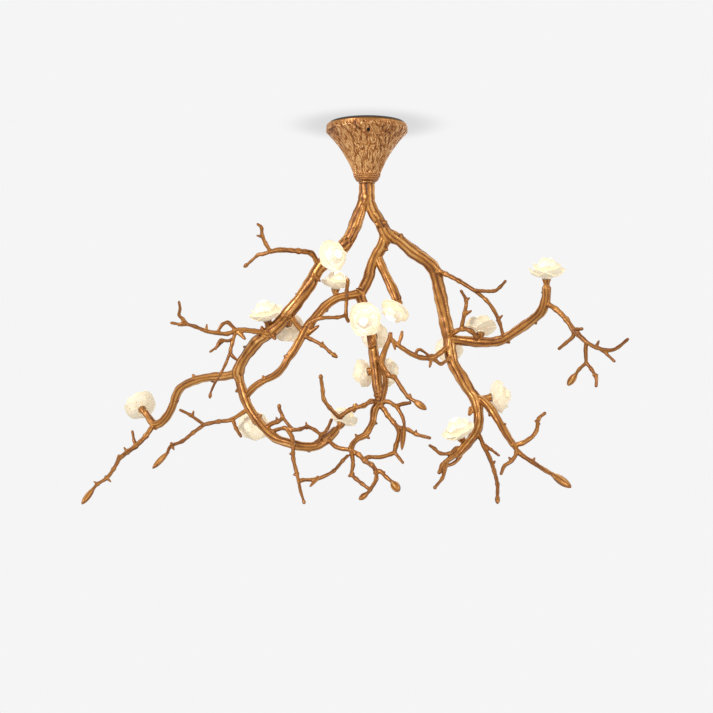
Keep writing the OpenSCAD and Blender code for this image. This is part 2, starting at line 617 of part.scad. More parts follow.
right_branch_nubs = [
    [[180, -345, -22], [192, -338, -26], 3.2],
    [[250, -393, -8], [262, -398, -4], 4],
    [[417, -404, -72], [423, -392, -76], 2.8],
    [[181, -321, -26], [188, -314, -28], 2.6],
    [[302, -355, -26], [310, -364, -22], 4],
    [[228, -396, -2], [234, -404, 6], 4],
    [[414, -456, -66], [421, -456, -68], 2.8],
    [[327, -310, -46], [317, -304, -42], 3.6],
];
right_branch_buds = [
    [[380, -455, -48], [365, -476, -42], 6.2],
];

lower_right_limb_ways = [
    [[199, -499, -2, 7.6], [213, -504, -6, 8], [229, -523, -14, 7.6], [246, -550, -22, 7],
        [257, -569, -28, 6.6], [267, -584, -34, 6]],
];
lower_right_limb_twigs = [
    [4.8, 4.4, [[267, -584, -34], [284, -580, -36], [301, -569, -34]]],
    [4.2, 3.2, [[301, -569, -34], [309, -557, -30], [313, -536, -24], [324, -526, -20]]],
    [4.2, 3.2, [[267, -584, -34], [272, -598, -42], [263, -613, -50], [250, -622, -58], [244, -636, -64]]],
    [4.6, 3.8, [[267, -584, -34], [279, -600, -36], [301, -615, -40], [324, -630, -46], [340, -639, -50]]],
];
lower_right_limb_nubs = [
    [[228, -523, -14], [222, -532, -10], 4],
    [[262, -612, -50], [257, -605, -54], 2.6],
    [[312, -545, -28], [305, -538, -30], 2.6],
    [[301, -615, -40], [306, -606, -44], 2.8],
    [[246, -550, -22], [254, -544, -26], 3.6],
    [[270, -586, -34], [274, -594, -24], 4],
];
lower_right_limb_buds = [
    [[338, -638, -50], [372, -662, -58], 7],
];

// ---- The wiring's ways: the same routes as the limbs, from the stem down ----
function from_trunk(shoulder, rows) = concat([[0, drawn_neck - stem_depth + 2, 0]], shoulder, rows);
function rows_between(rows, first, last) = [for (i = [first : last]) rows[i]];
wire_ways = [
    from_trunk(rows_between(trunk_ways[1], 1, 3), rows_between(left_limb_ways[0], 1, 13)),
    concat([left_limb_ways[0][12]], rows_between(left_outer_limb_ways[0], 1, 10)),
    concat([left_limb_ways[0][13]], rows_between(left_lower_limb_ways[0], 1, 13)),
    from_trunk(rows_between(trunk_ways[2], 1, 3), rows_between(right_limb_ways[0], 1, 19)),
    concat([trunk_ways[2][3]], rows_between(centre_limb_ways[0], 1, 13)),
    concat([centre_limb_ways[0][3]], rows_between(centre_limb_ways[1], 1, 4)),
    concat([centre_limb_ways[0][6]], rows_between(centre_left_limb_ways[0], 1, 2)),
    concat([right_limb_ways[0][9]], rows_between(right_branch_ways[0], 1, 9)),
];

module wires(limb_d, stub_d, past) {
    for (way = wire_ways) {
        tube([for (p = way) place(p)], [for (p = way) limb_d / 2], wire_sides);
        translate(place(way[len(way) - 1])) sphere(d = limb_d, $fn = wire_sides);
    }
    for (f = flowers) {
        hull() {
            translate(place(f[1])) sphere(d = stub_d, $fn = wire_sides);
            at_flower(f) translate([0, 0, -1]) cylinder(d = stub_d, h = 1 + past, $fn = wire_sides);
        }
    }
}

module wire_channels() {
    wires(channel_d, stub_channel_d, 1);
    translate([0, 0, stem_end]) cylinder(d = stem_d + 2 * stem_clearance, h = stem_depth + 1, $fn = 24);
    translate([0, 0, stem_end - 6]) cylinder(d = stem_bore, h = stem_depth, $fn = 12);
}

// ---- The castings as whole solids, before they are fitted to each other ----
module left_limb_form() {
    grown("left_limb", left_limb_ways, left_limb_twigs, left_limb_nubs, left_limb_buds);
}
module left_outer_limb_form() {
    grown("left_outer_limb", left_outer_limb_ways, left_outer_limb_twigs, left_outer_limb_nubs,
        left_outer_limb_buds);
}
module left_lower_limb_form() {
    grown("left_lower_limb", left_lower_limb_ways, left_lower_limb_twigs, left_lower_limb_nubs,
        left_lower_limb_buds);
}
module centre_limb_form() {
    grown("centre_limb", centre_limb_ways, centre_limb_twigs, centre_limb_nubs, centre_limb_buds);
}
module centre_left_limb_form() {
    grown("centre_left_limb", centre_left_limb_ways, centre_left_limb_twigs, centre_left_limb_nubs,
        centre_left_limb_buds);
}
module centre_spray_form() {
    grown("centre_spray", centre_spray_ways, centre_spray_twigs, centre_spray_nubs, centre_spray_buds);
}
module right_limb_form() {
    grown("right_limb", right_limb_ways, right_limb_twigs, right_limb_nubs, right_limb_buds);
}
module right_branch_form() {
    grown("right_branch", right_branch_ways, right_branch_twigs, right_branch_nubs, right_branch_buds);
}
module lower_right_limb_form() {
    grown("lower_right_limb", lower_right_limb_ways, lower_right_limb_twigs, lower_right_limb_nubs,
        lower_right_limb_buds);
}
module trunk_form() {
    difference() {
        grown("trunk", trunk_ways, [], trunk_nubs, []);
        translate([0, 0, neck_z]) cylinder(d = 60, h = 60);
    }
}

// ---- The castings, each coped to the ones that carry it and hollow for the wires ----
module trunk() {
    color(bronze) difference() {
        trunk_form();
        wire_channels();
    }
}
module left_limb() {
    color(bronze) difference() {
        left_limb_form();
        trunk_form();
        wire_channels();
    }
}
module right_limb() {
    color(bronze) difference() {
        right_limb_form();
        trunk_form();
        centre_limb_form();
        wire_channels();
    }
}
module centre_limb() {
    color(bronze) difference() {
        centre_limb_form();
        trunk_form();
        wire_channels();
    }
}
module left_outer_limb() {
    color(bronze) difference() {
        left_outer_limb_form();
        left_limb_form();
        wire_channels();
    }
}
module left_lower_limb() {
    color(bronze) difference() {
        left_lower_limb_form();
        left_limb_form();
        left_outer_limb_form();
        wire_channels();
    }
}
module centre_left_limb() {
    color(bronze) difference() {
        centre_left_limb_form();
        centre_limb_form();
        left_limb_form();
        left_lower_limb_form();
        wire_channels();
    }
}
module centre_spray() {
    color(bronze) difference() {
        centre_spray_form();
        centre_limb_form();
        left_lower_limb_form();
        wire_channels();
    }
}
module right_branch() {
    color(bronze) difference() {
        right_branch_form();
        right_limb_form();
        wire_channels();
    }
}
module lower_right_limb() {
    color(bronze) difference() {
        lower_right_limb_form();
        right_limb_form();
        wire_channels();
    }
}

// ---- The loom ----
module wiring_loom() {
    color("dimgray") union() {
        wires(loom_d, stub_wire_d, 0);
        translate([0, 0, stem_end - 2]) cylinder(d = bundle_d, h = stem_top - stem_end + 2, $fn = 12);
    }
}

// ---- Ceiling plate, bridge, stem ----
module ceiling_plate() {
    color(steel) difference() {
        union() {
            translate([0, 0, -plate_t]) cylinder(d = plate_d, h = plate_t);
            for (i = [0 : 2]) rotate(canopy_screw_turn + 120 * i) plate_tab();
        }
        for (i = [0 : ceiling_holes - 1]) rotate(ceiling_turn + 360 * i / ceiling_holes) {
            translate([ceiling_pcd / 2, 0, -plate_t - 1]) cylinder(d = ceiling_hole_d, h = plate_t + 2);
        }
        translate([cable_hole_x, cable_hole_y, -plate_t - 1]) cylinder(d = cable_hole_d, h = plate_t + 2);
        for (p = plate_screw_places) {
            translate([p[0], p[1], -plate_t - 1]) cylinder(d = plate_screw_d, h = plate_t + 2);
        }
        canopy_screw_holes(canopy_screw_d);
    }
}
tab_x = tab_reach - tab_t;
module plate_tab() {
    low_z = -canopy_screw_drop - tab_end;
    translate([tab_x, -tab_w / 2, low_z]) cube([tab_t, tab_w, -plate_t / 2 - low_z]);
}
ceiling_turn = 20;
cable_hole_x = -30;
cable_hole_y = 16 + driver_w / 2;

module canopy_screw_holes(d) {
    for (i = [0 : 2]) rotate(canopy_screw_turn + 120 * i) {
        translate([tab_x - 2, 0, -canopy_screw_drop]) rotate([0, 90, 0]) {
            cylinder(d = d, h = canopy_r - tab_x + 4);
        }
    }
}

module hanger_bridge() {
    leg_y = bridge_gap / 2;
    low_z = -plate_t - bridge_drop;
    color(steel) difference() {
        union() {
            for (side = [0, 1]) mirror([0, side, 0]) {
                translate([-bridge_w / 2, leg_y, low_z]) cube([bridge_w, bridge_t, bridge_drop]);
                translate([-bridge_w / 2, leg_y, -plate_t - bridge_t]) {
                    cube([bridge_w, bridge_flange, bridge_t]);
                }
            }
            translate([-bridge_w / 2, -leg_y, low_z]) cube([bridge_w, 2 * leg_y, bridge_t]);
        }
        translate([0, 0, low_z - 1]) cylinder(d = stem_d + 2 * stem_clearance, h = bridge_t + 2);
    }
}

module stem() {
    color(steel) translate([0, 0, stem_end]) difference() {
        cylinder(d = stem_d, h = stem_top - stem_end);
        translate([0, 0, -1]) cylinder(d = stem_bore, h = stem_top - stem_end + 2);
    }
}

module stem_washer() {
    color(steel) translate([0, 0, washer_z]) difference() {
        cylinder(d = washer_d, h = washer_t);
        translate([0, 0, -1]) cylinder(d = stem_d + stem_clearance, h = washer_t + 2);
    }
}

module stem_nut() {
    color(steel) translate([0, 0, nut_z]) difference() {
        cylinder(d = nut_d, h = nut_h, $fn = 6);
        translate([0, 0, -1]) cylinder(d = stem_d, h = nut_h + 2, $fn = 48);
    }
}

module neck_collar() {
    edge = collar_h / 4;
    color(bronze) rotate_extrude() polygon([
        [stem_d / 2 + stem_clearance / 2, neck_z],
        [collar_d / 2 - edge, neck_z],
        [collar_d / 2, neck_z + edge],
        [collar_d / 2, neck_z + collar_h - edge],
        [collar_d / 2 - edge, neck_z + collar_h],
        [stem_d / 2 + stem_clearance / 2, neck_z + collar_h],
    ]);
}

// ---- Canopy ----
flare_end = canopy_h - canopy_lip_h;
// The flare starts steeper where the rim is nearer to the tabs, so that it clears their lower ends
flare_gain = 2.5;
flare_bow = 21;
flare_pull = [flare_gain * (canopy_r - tab_reach) - flare_bow, 23];
neck_pull = [9.3, 29.7];
flare_steps = 10;
function bezier(a, b, c, d, t) =
    pow(1 - t, 3) * a + 3 * pow(1 - t, 2) * t * b + 3 * (1 - t) * t * t * c + pow(t, 3) * d;
function flare(inset) = [for (i = [0 : flare_steps])
    bezier(
        [canopy_r - inset, -rim_h],
        [canopy_r - inset - flare_pull[0], -rim_h - flare_pull[1]],
        [canopy_neck_d / 2 - inset + neck_pull[0], -flare_end + neck_pull[1]],
        [canopy_neck_d / 2 - inset, -flare_end],
        i / flare_steps)];
function backwards(ps) = [for (i = [len(ps) - 1 : -1 : 0]) ps[i]];

module canopy() {
    lip_r = canopy_lip_d / 2;
    color(bronze) difference() {
        rotate_extrude() polygon(concat(
            [[canopy_r, 0]],
            flare(0),
            [[(canopy_neck_d / 2 + lip_r) / 2 + 1.5, -canopy_h + canopy_lip_h * 0.4]],
            [[lip_r, -canopy_h], [mouth_d / 2, -canopy_h], [mouth_d / 2, -canopy_h + canopy_wall]],
            backwards(flare(canopy_wall)),
            [[canopy_r - canopy_wall, 0]]
        ));
        canopy_screw_holes(canopy_hole_d);
    }
}

module canopy_screws() {
    socket_d = canopy_screw_d / 2;
    length = canopy_screw_reach - tab_x;
    color("black") for (i = [0 : 2]) rotate(canopy_screw_turn + 120 * i) {
        translate([tab_x, 0, -canopy_screw_drop]) rotate([0, 90, 0]) difference() {
            cylinder(d = canopy_screw_d, h = length);
            translate([0, 0, length - 2]) cylinder(d = socket_d, h = 3, $fn = 6);
        }
    }
}

// ---- Driver, terminal block, leads ----
ear_screw_x = driver_l / 2 + ear_l / 2;
terminal_x = -30;
// Distance of the terminal block's outermost corner from the plate's rim
terminal_inset = 2.2;
terminal_far_x = terminal_l / 2 - terminal_x;
terminal_y = terminal_w / 2 - sqrt(pow(plate_d / 2 - terminal_inset, 2) - pow(terminal_far_x, 2));
terminal_ear_x = terminal_x + terminal_l / 2 + ear_l / 2;
earth_place = [32, terminal_y];
plate_screw_places = [
    [-ear_screw_x, 0, ear_t], [ear_screw_x, 0, ear_t],
    [terminal_ear_x, terminal_y, ear_t], [earth_place[0], earth_place[1], 0],
];

module rounded_box(l, w, h, r) {
    linear_extrude(h) union() {
        square([l - 2 * r, w], center = true);
        square([l, w - 2 * r], center = true);
        for (x = [-1, 1], y = [-1, 1]) translate([x * (l / 2 - r), y * (w / 2 - r)]) circle(r);
    }
}

// A screw ear on the +X or -X side, which starts inside the case that it belongs to
ear_root = 2;
module ear(side) {
    difference() {
        translate([side > 0 ? -ear_root : -ear_l, -ear_w / 2, -ear_t]) cube([ear_root + ear_l, ear_w, ear_t]);
        translate([side * ear_l / 2, 0, -ear_t - 1]) cylinder(d = plate_screw_d, h = ear_t + 2);
    }
}

module led_driver() {
    color("whitesmoke") translate([0, 0, -plate_t]) union() {
        translate([0, 0, -driver_h]) rounded_box(driver_l, driver_w, driver_h, driver_corner);
        translate([driver_l / 2, 0, 0]) ear(1);
        translate([-driver_l / 2, 0, 0]) ear(-1);
    }
}

module plate_screws() {
    color(steel) for (p = plate_screw_places) translate([p[0], p[1], -plate_t - p[2]]) {
        translate([0, 0, -plate_screw_head_h]) cylinder(d = plate_screw_head_d, h = plate_screw_head_h);
        cylinder(d = plate_screw_d, h = p[2] + plate_t - 0.3);
    }
}

terminal_pitch = terminal_l / terminal_poles;
function pole_x(i) = terminal_x + (i - (terminal_poles - 1) / 2) * terminal_pitch;

module terminal_block() {
    screw_depth = terminal_h * 0.45;
    color("ivory") difference() {
        union() {
            translate([terminal_x - terminal_l / 2, terminal_y - terminal_w / 2, -plate_t - terminal_h]) {
                cube([terminal_l, terminal_w, terminal_h]);
            }
            translate([terminal_x + terminal_l / 2, terminal_y, -plate_t]) ear(1);
        }
        for (i = [0 : terminal_poles - 1]) {
            translate([pole_x(i), terminal_y, -plate_t - terminal_h - 1]) {
                cylinder(d = terminal_screw_d + 0.4, h = screw_depth + 1);
            }
            translate([pole_x(i), terminal_y - terminal_w / 2 - 1, -plate_t - terminal_h * 0.6]) {
                rotate([-90, 0, 0]) cylinder(d = wire_entry_d, h = terminal_w + 2);
            }
        }
    }
}

module terminal_screws() {
    screw_depth = terminal_h * 0.45;
    slot_t = 0.8;
    low_z = -plate_t - terminal_h + 1;
    color(steel) for (i = [0 : terminal_poles - 1]) translate([pole_x(i), terminal_y, low_z]) {
        difference() {
            cylinder(d = terminal_screw_d, h = screw_depth - 1.3);
            translate([-terminal_screw_d, -slot_t / 2, -1]) cube([2 * terminal_screw_d, slot_t, 1.8]);
        }
    }
}

// Leads, as points chosen by hand in the space between the driver, the tabs and the canopy's wall
input_route = [
    [terminal_x - terminal_l / 2, terminal_y, -9], [terminal_x - terminal_l / 2 - 4, terminal_y, -9],
    [-51, -36, -10.5], [-57, -23, -12], [-60, -9, -14], [-58, 0, -15],
    [-driver_l / 2 - 6, 2, -15], [-driver_l / 2, 2, -15],
];
output_route = [
    [driver_l / 2, 0, -15], [driver_l / 2 + 6, 0, -15], [55, 0, -20], [52, 0, -26], [44, 0, -30.5],
    [30, 0, -32], [16, 0, -32], [6, 0, -32.5], [1, 0, -34], [0, 0, -36], [0, 0, stem_top + running_gap],
];
lead_sides = 8;

module lead(route) {
    tube(route, [for (p = route) lead_d / 2], lead_sides);
}
module input_lead() {
    color("black") lead(input_route);
}
module output_lead() {
    color("black") lead(output_route);
}

// ---- Lampholders, lamps and flowers ----
module lampholders() {
    color("gainsboro") for (f = flowers) at_flower(f) difference() {
        union() {
            cylinder(d = flange_d, h = flange_t);
            cylinder(d = holder_d, h = holder_top);
        }
        for (side = [-1, 1]) {
            translate([side * pin_spacing / 2, 0, holder_top - pin_l - running_gap]) {
                cylinder(d = pin_hole_d, h = pin_l + running_gap + 1);
            }
        }
    }
}

module lamp(f) {
    dome_r = capsule_d / 2;
    color("lightyellow") at_flower(f) translate([0, 0, lamp_seat]) union() {
        cylinder(d = foot_d, h = foot_h);
        translate([0, 0, foot_h]) cylinder(d = capsule_d, h = capsule_l - dome_r);
        translate([0, 0, foot_h + capsule_l - dome_r]) sphere(dome_r);
        for (side = [-1, 1]) translate([side * pin_spacing / 2, 0, -pin_l]) cylinder(d = pin_d, h = pin_l + 1);
    }
}

petal_steps = 4;
petal_lean = 80;
inner_closing = 144;
// A whorl's wall as [radius, height], from the foot to the rim
function outer_curve(r, h, inset) = [for (i = [0 : petal_steps])
    let(a = petal_lean * i / petal_steps)
    [flower_foot_d * 0.4 + (r - flower_foot_d * 0.4 - inset) * sin(a) / sin(petal_lean),
        flower_seat + inset + (h - inset) * (1 - cos(a)) / (1 - cos(petal_lean))]];
function inner_curve(r, h, inset) = [for (i = [0 : petal_steps])
    let(s = i / petal_steps)
    [flower_foot_d * 0.45 - inset + (r - flower_foot_d * 0.45) * sin(inner_closing * s),
        flower_seat + (inset > 0 ? inset * (1 - s) : 0) + h * s]];

module outer_petals(size) {
    r = flower_d / 2 * size;
    h = outer_petal_h * size;
    lobe_r = r * 0.46;
    intersection() {
        rotate_extrude() polygon(concat(outer_curve(r, h, 0), backwards(outer_curve(r, h, petal_t))));
        linear_extrude(h + flower_seat + 1) union() {
            circle(r * 0.4);
            for (i = [0 : petals - 1]) rotate(360 * i / petals) translate([r - lobe_r + 0.2, 0]) circle(lobe_r);
        }
    }
}

module inner_petals(size) {
    r = inner_d / 2 * size;
    h = inner_petal_h * size;
    notch_r = r * 0.3;
    difference() {
        rotate_extrude() polygon(concat(inner_curve(r, h, 0), backwards(inner_curve(r, h, petal_t))));
        for (i = [0 : petals - 1]) rotate(360 * i / petals) {
            translate([2, 0, flower_seat + h]) rotate([0, 90, 0]) cylinder(r = notch_r, h = r + 4);
        }
    }
}

module flower(f) {
    color(porcelain) at_flower(f) difference() {
        union() {
            outer_petals(f[5]);
            inner_petals(f[5]);
            translate([0, 0, flower_seat]) cylinder(d = flower_foot_d, h = flower_foot_h);
        }
        translate([0, 0, flower_seat - 1]) cylinder(d = holder_d + 2 * foot_clearance, h = flower_foot_h + 2);
    }
}

ceiling_plate();
hanger_bridge();
canopy();
canopy_screws();
led_driver();
plate_screws();
terminal_block();
terminal_screws();
input_lead();
output_lead();
stem();
stem_washer();
stem_nut();
neck_collar();
wiring_loom();
lampholders();
trunk();
left_limb();
left_outer_limb();
left_lower_limb();
centre_limb();
centre_left_limb();
centre_spray();
right_limb();
right_branch();
lower_right_limb();
for (i = [0 : len(flowers) - 1]) {
    flower(flowers[i]);
    lamp(flowers[i]);
}
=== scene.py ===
"""Branch chandelier: the dressed scene. The routes are in millimetres as the viewer in front sees them, and
place() puts them in the row frame in metres, as the part's source does."""
import math
import random

import bmesh
import bpy
import numpy as np
from mathutils import Matrix, Vector, kdtree, noise


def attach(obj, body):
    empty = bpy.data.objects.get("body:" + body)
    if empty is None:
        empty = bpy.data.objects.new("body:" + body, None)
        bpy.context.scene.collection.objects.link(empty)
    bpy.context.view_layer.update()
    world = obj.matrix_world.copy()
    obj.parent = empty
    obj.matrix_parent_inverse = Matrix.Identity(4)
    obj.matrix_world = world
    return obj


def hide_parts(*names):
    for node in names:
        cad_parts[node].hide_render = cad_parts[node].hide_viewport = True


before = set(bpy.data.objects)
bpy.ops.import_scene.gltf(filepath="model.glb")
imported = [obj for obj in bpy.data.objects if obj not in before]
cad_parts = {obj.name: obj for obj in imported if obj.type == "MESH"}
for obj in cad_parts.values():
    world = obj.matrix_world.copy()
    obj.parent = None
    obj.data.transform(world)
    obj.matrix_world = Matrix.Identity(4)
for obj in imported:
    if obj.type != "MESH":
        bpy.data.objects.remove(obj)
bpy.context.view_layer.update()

MM = 0.001
VIEW_DISTANCE = 2500
EYE_Z = -531
# How far the outer twigs lie behind the stem or in front of it, as [most, where it starts, over what reach]
LEFT_SWEEP, RIGHT_SWEEP, BOTTOM_SWEEP = (150, 150, 370), (120, 200, 276), (90, 540, 150)

# [casting, root on its limb, base, tilt from +Z, turn from +X, size] as [x, z, depth]
FLOWERS = [
    ["left_outer_limb", [-397, -533, 56], [-409, -519, 62], 60, 115, 1],
    ["left_limb", [-68, -243, -8], [-71, -243, -27], 81, -55, 0.9],
    ["centre_left_limb", [-54, -316, 22], [-57, -299, 22], 12, -60, 0.85],
    ["left_limb", [-180, -378, 6], [-182, -356, -2], 24, -120, 1],
    ["left_limb", [-146, -347, 1], [-144, -362, 25], 114, 92, 1],
    ["centre_limb", [-4, -345, 24], [-2, -350, 4], 108, -98, 1],
    ["centre_limb", [54, -317, 0], [57, -328, -2], 143, -142, 0.85],
    ["centre_limb", [8, -383, 20], [12, -386, 36], 84, 72, 0.8],
    ["centre_limb", [16, -448, 12], [4, -450, 19], 102, 146, 0.8],
    ["centre_limb", [17, -450, 12], [29, -449, 26], 96, 52, 0.8],
    ["left_lower_limb", [-57, -557, 19], [-47, -545, 24], 30, 45, 0.8],
    ["left_lower_limb", [-203, -534, 7], [-202, -541, 25], 120, 104, 1],
    ["right_branch", [206, -396, 2], [207, -381, 12], 27, 84, 0.95],
    ["right_limb", [151, -402, 19], [151, -404, 37], 108, 90, 0.8],
    ["right_branch", [327, -299, -49], [327, -281, -54], 8, -90, 1],
    ["lower_right_limb", [198, -500, -3], [226, -497, 6], 84, 12, 1],
    ["right_limb", [181, -582, -24], [171, -570, -32], 28, -140, 1],
]

# Each casting's limbs as [x, z, depth, radius], twigs as [first radius, last radius, points],
# nubs and buds as [first point, last point, radius]
CASTINGS = {}
CASTINGS["trunk"] = {
    "ways": [
        [[0, -107.4, 0, 13.7], [0, -121, 0, 14], [-1, -136, 0, 15.5], [-2, -146, 0, 14]],
        [[-3, -132, 0, 10], [-13, -158, 0, 11.5], [-22, -184, -2, 12], [-33, -208, -4, 12],
            [-42, -220, -5, 12]],
        [[3, -132, 0, 9.5], [11, -157, 0, 11], [24, -177, 1, 11.5], [35, -199, 2, 12.5], [40, -205, 3, 11]],
    ],
    "twigs": [],
    "nubs": [
        [[22, -180, -2], [38, -176, -6], 5], [[-2, -128, -8], [-6, -146, -13], 3.5],
        [[-2, -128, 8], [2, -150, 14], 3.5], [[-18, -172, -8], [-28, -198, -14], 3.5],
        [[18, -168, -8], [29, -190, -9], 3.5], [[-12, -150, 8], [-26, -192, 8], 3.5],
        [[20, -172, 8], [33, -194, 12], 3.5], [[-33, -205, -2], [-44, -204, 4], 4],
    ],
    "buds": [],
}
CASTINGS["left_limb"] = {
    "ways": [
        [[-36, -212, -5, 11.5], [-48, -228, -6, 12], [-68, -243, -8, 12], [-88, -262, -8, 12],
            [-104, -290, -6, 11.5], [-125, -321, -4, 11.5], [-143, -343, 0, 12], [-161, -364, 4, 12],
            [-179, -379, 6, 12], [-199, -394, 8, 11.5], [-212, -410, 10, 11], [-221, -422, 11, 10.5],
            [-231, -439, 12, 10.5], [-235, -454, 14, 11.5], [-233, -463, 14, 9]],
    ],
    "twigs": [
        [5.5, 4.6, [[-91, -250, -12], [-102, -234, -18], [-125, -230, -35], [-159, -228, -62],
            [-176, -231, -80]]],
        [4, 2.8, [[-176, -231, -80], [-186, -215, -88], [-192, -200, -96], [-193, -187, -102],
            [-200, -181, -108]]],
        [3.8, 2.8, [[-176, -231, -80], [-192, -236, -84], [-199, -237, -84], [-217, -253, -84]]],
        [5, 4.5, [[-179, -379, 2], [-207, -376, -16], [-224, -374, -26], [-239, -374, -34]]],
        [3.6, 3, [[-239, -374, -34], [-249, -364, -40], [-254, -360, -44], [-264, -364, -50],
            [-272, -377, -54]]],
        [4.2, 3.4, [[-239, -374, -34], [-255, -381, -44], [-277, -379, -56], [-293, -376, -62],
            [-313, -368, -70], [-327, -364, -78]]],
        [3.4, 2.6, [[-327, -364, -78], [-336, -354, -84], [-343, -347, -90], [-341, -335, -94],
            [-343, -323, -98]]],
        [3.4, 2.8, [[-327, -364, -78], [-339, -364, -84], [-357, -361, -92]]],
        [3.6, 2.8, [[-239, -374, -34], [-246, -400, -38], [-249, -412, -40], [-245, -422, -40],
            [-238, -428, -38]]],
        [3, 2.4, [[-243, -389, -36], [-254, -394, -44], [-267, -392, -50], [-272, -400, -54],
            [-276, -409, -58]]],
        [2.8, 2.3, [[-262, -394, -48], [-274, -405, -46], [-286, -414, -44]]],
        [3, 2.3, [[-249, -412, -40], [-257, -434, -42], [-267, -454, -44], [-277, -470, -46],
            [-285, -488, -46]]],
    ],
    "nubs": [
        [[-293, -374, -62], [-292, -362, -64], 2.6], [[-231, -381, -32], [-221, -392, -36], 4],
        [[-190, -378, 0], [-192, -366, -10], 4], [[-163, -364, 0], [-151, -348, -12], 4],
        [[-175, -381, 6], [-166, -392, -6], 4.5], [[-214, -408, 16], [-226, -404, 20], 4],
        [[-122, -318, 6], [-130, -306, 10], 4], [[-96, -276, -16], [-84, -286, -20], 3.6],
        [[-192, -204, -94], [-203, -201, -94], 2.6], [[-335, -358, -84], [-345, -368, -88], 2.4],
    ],
    "buds": [
        [[-217, -253, -84], [-226, -260, -86], 3.6], [[-285, -488, -46], [-287, -500, -46], 3.2],
    ],
}
CASTINGS["left_outer_limb"] = {
    "ways": [
        [[-233, -452, 14, 9], [-257, -458, 18, 8.8], [-285, -460, 24, 8.2], [-312, -466, 30, 8],
            [-337, -478, 36, 8.2], [-347, -493, 40, 8], [-353, -511, 44, 8], [-362, -529, 48, 8],
            [-376, -544, 52, 8.4], [-388, -545, 54, 8], [-398, -532, 56, 6.5], [-403, -525, 58, 6.4]],
    ],
    "twigs": [
        [5.4, 4.4, [[-388, -546, 54], [-402, -567, 47], [-421, -586, 36], [-437, -597, 24],
            [-451, -609, 12]]],
        [4.2, 3.2, [[-451, -609, 12], [-462, -628, 0], [-474, -644, -12], [-491, -655, -24],
            [-499, -664, -30]]],
        [3.2, 2.8, [[-421, -584, 36], [-424, -576, 32], [-427, -559, 28]]],
    ],
    "nubs": [
        [[-451, -607, 12], [-456, -616, 20], 4.4], [[-437, -597, 24], [-443, -587, 22], 2.8],
        [[-474, -644, -12], [-466, -652, -14], 2.6], [[-312, -463, 30], [-318, -454, 26], 4],
        [[-353, -508, 44], [-342, -502, 38], 4], [[-285, -463, 24], [-278, -470, 30], 4],
        [[-379, -546, 52], [-386, -557, 58], 4], [[-491, -655, -24], [-499, -650, -26], 2.4],
    ],
    "buds": [[[-499, -664, -30], [-521, -693, -46], 5.6]],
}
CASTINGS["left_lower_limb"] = {
    "ways": [
        [[-234, -457, 14, 9.5], [-231, -470, 14, 9.2], [-224, -494, 12, 9], [-217, -512, 10, 9],
            [-208, -527, 8, 9], [-195, -543, 6, 8.8], [-181, -559, 4, 8.6], [-164, -573, 3, 8.6],
            [-144, -580, 2, 8.6], [-122, -586, 4, 8.6], [-99, -587, 8, 9], [-81, -578, 12, 9.4],
            [-66, -567, 16, 9.6], [-57, -557, 19, 8]],
    ],
    "twigs": [
        [4.6, 3.4, [[-185, -552, 4], [-172, -544, -8], [-162, -541, -12], [-154, -533, -14],
            [-160, -518, -14]]],
        [3.2, 2.8, [[-154, -533, -14], [-144, -546, -12], [-133, -557, -8]]],
        [3.8, 3.2, [[-178, -560, 2], [-151, -553, -14], [-133, -556, -20], [-122, -555, -22],
            [-109, -551, -22], [-96, -556, -20], [-84, -564, -12], [-73, -556, -8], [-65, -538, -8]]],
        [3.4, 3, [[-84, -564, -12], [-88, -577, -2]]],
        [4.4, 3.4, [[-147, -554, -15], [-137, -569, -20], [-135, -586, -26], [-135, -608, -30],
            [-130, -630, -32], [-125, -652, -34]]],
        [3.2, 2.6, [[-125, -652, -34], [-122, -668, -38], [-117, -684, -42]]],
        [3.6, 3.2, [[-125, -653, -34], [-119, -648, -32], [-97, -647, -30], [-81, -642, -26],
            [-61, -631, -20], [-45, -613, -14], [-36, -604, -11]]],
        [4.2, 4, [[-72, -574, 12], [-57, -587, 0], [-44, -591, -6], [-34, -592, -9]]],
        [4.4, 3.6, [[-216, -520, 9], [-225, -524, 6], [-248, -538, -14], [-270, -541, -34],
            [-290, -545, -54], [-297, -547, -60]]],
        [3.4, 2.8, [[-297, -547, -60], [-323, -529, -78], [-341, -520, -90]]],
        [3.8, 3, [[-297, -547, -60], [-318, -562, -76], [-337, -577, -92], [-358, -586, -106],
            [-365, -599, -112]]],
        [3.8, 3.2, [[-244, -538, -12], [-239, -553, -16], [-230, -568, -20]]],
    ],
    "nubs": [
        [[-135, -600, -28], [-143, -600, -32], 2.8], [[-128, -636, -32], [-136, -639, -34], 2.8],
        [[-93, -647, -30], [-106, -661, -32], 3.2], [[-231, -480, 14], [-240, -488, 8], 4],
        [[-163, -540, -12], [-166, -532, -12], 2.8], [[-110, -588, 8], [-104, -598, 14], 4],
        [[-202, -536, 6], [-191, -528, 2], 4], [[-356, -584, -104], [-352, -594, -108], 2.6],
        [[-318, -530, -76], [-316, -520, -78], 2.4], [[-109, -551, -22], [-112, -541, -24], 2.6],
    ],
    "buds": [
        [[-365, -599, -112], [-393, -628, -126], 5], [[-160, -518, -14], [-160, -508, -14], 3.6],
        [[-117, -684, -42], [-115, -692, -44], 3.2],
    ],
}
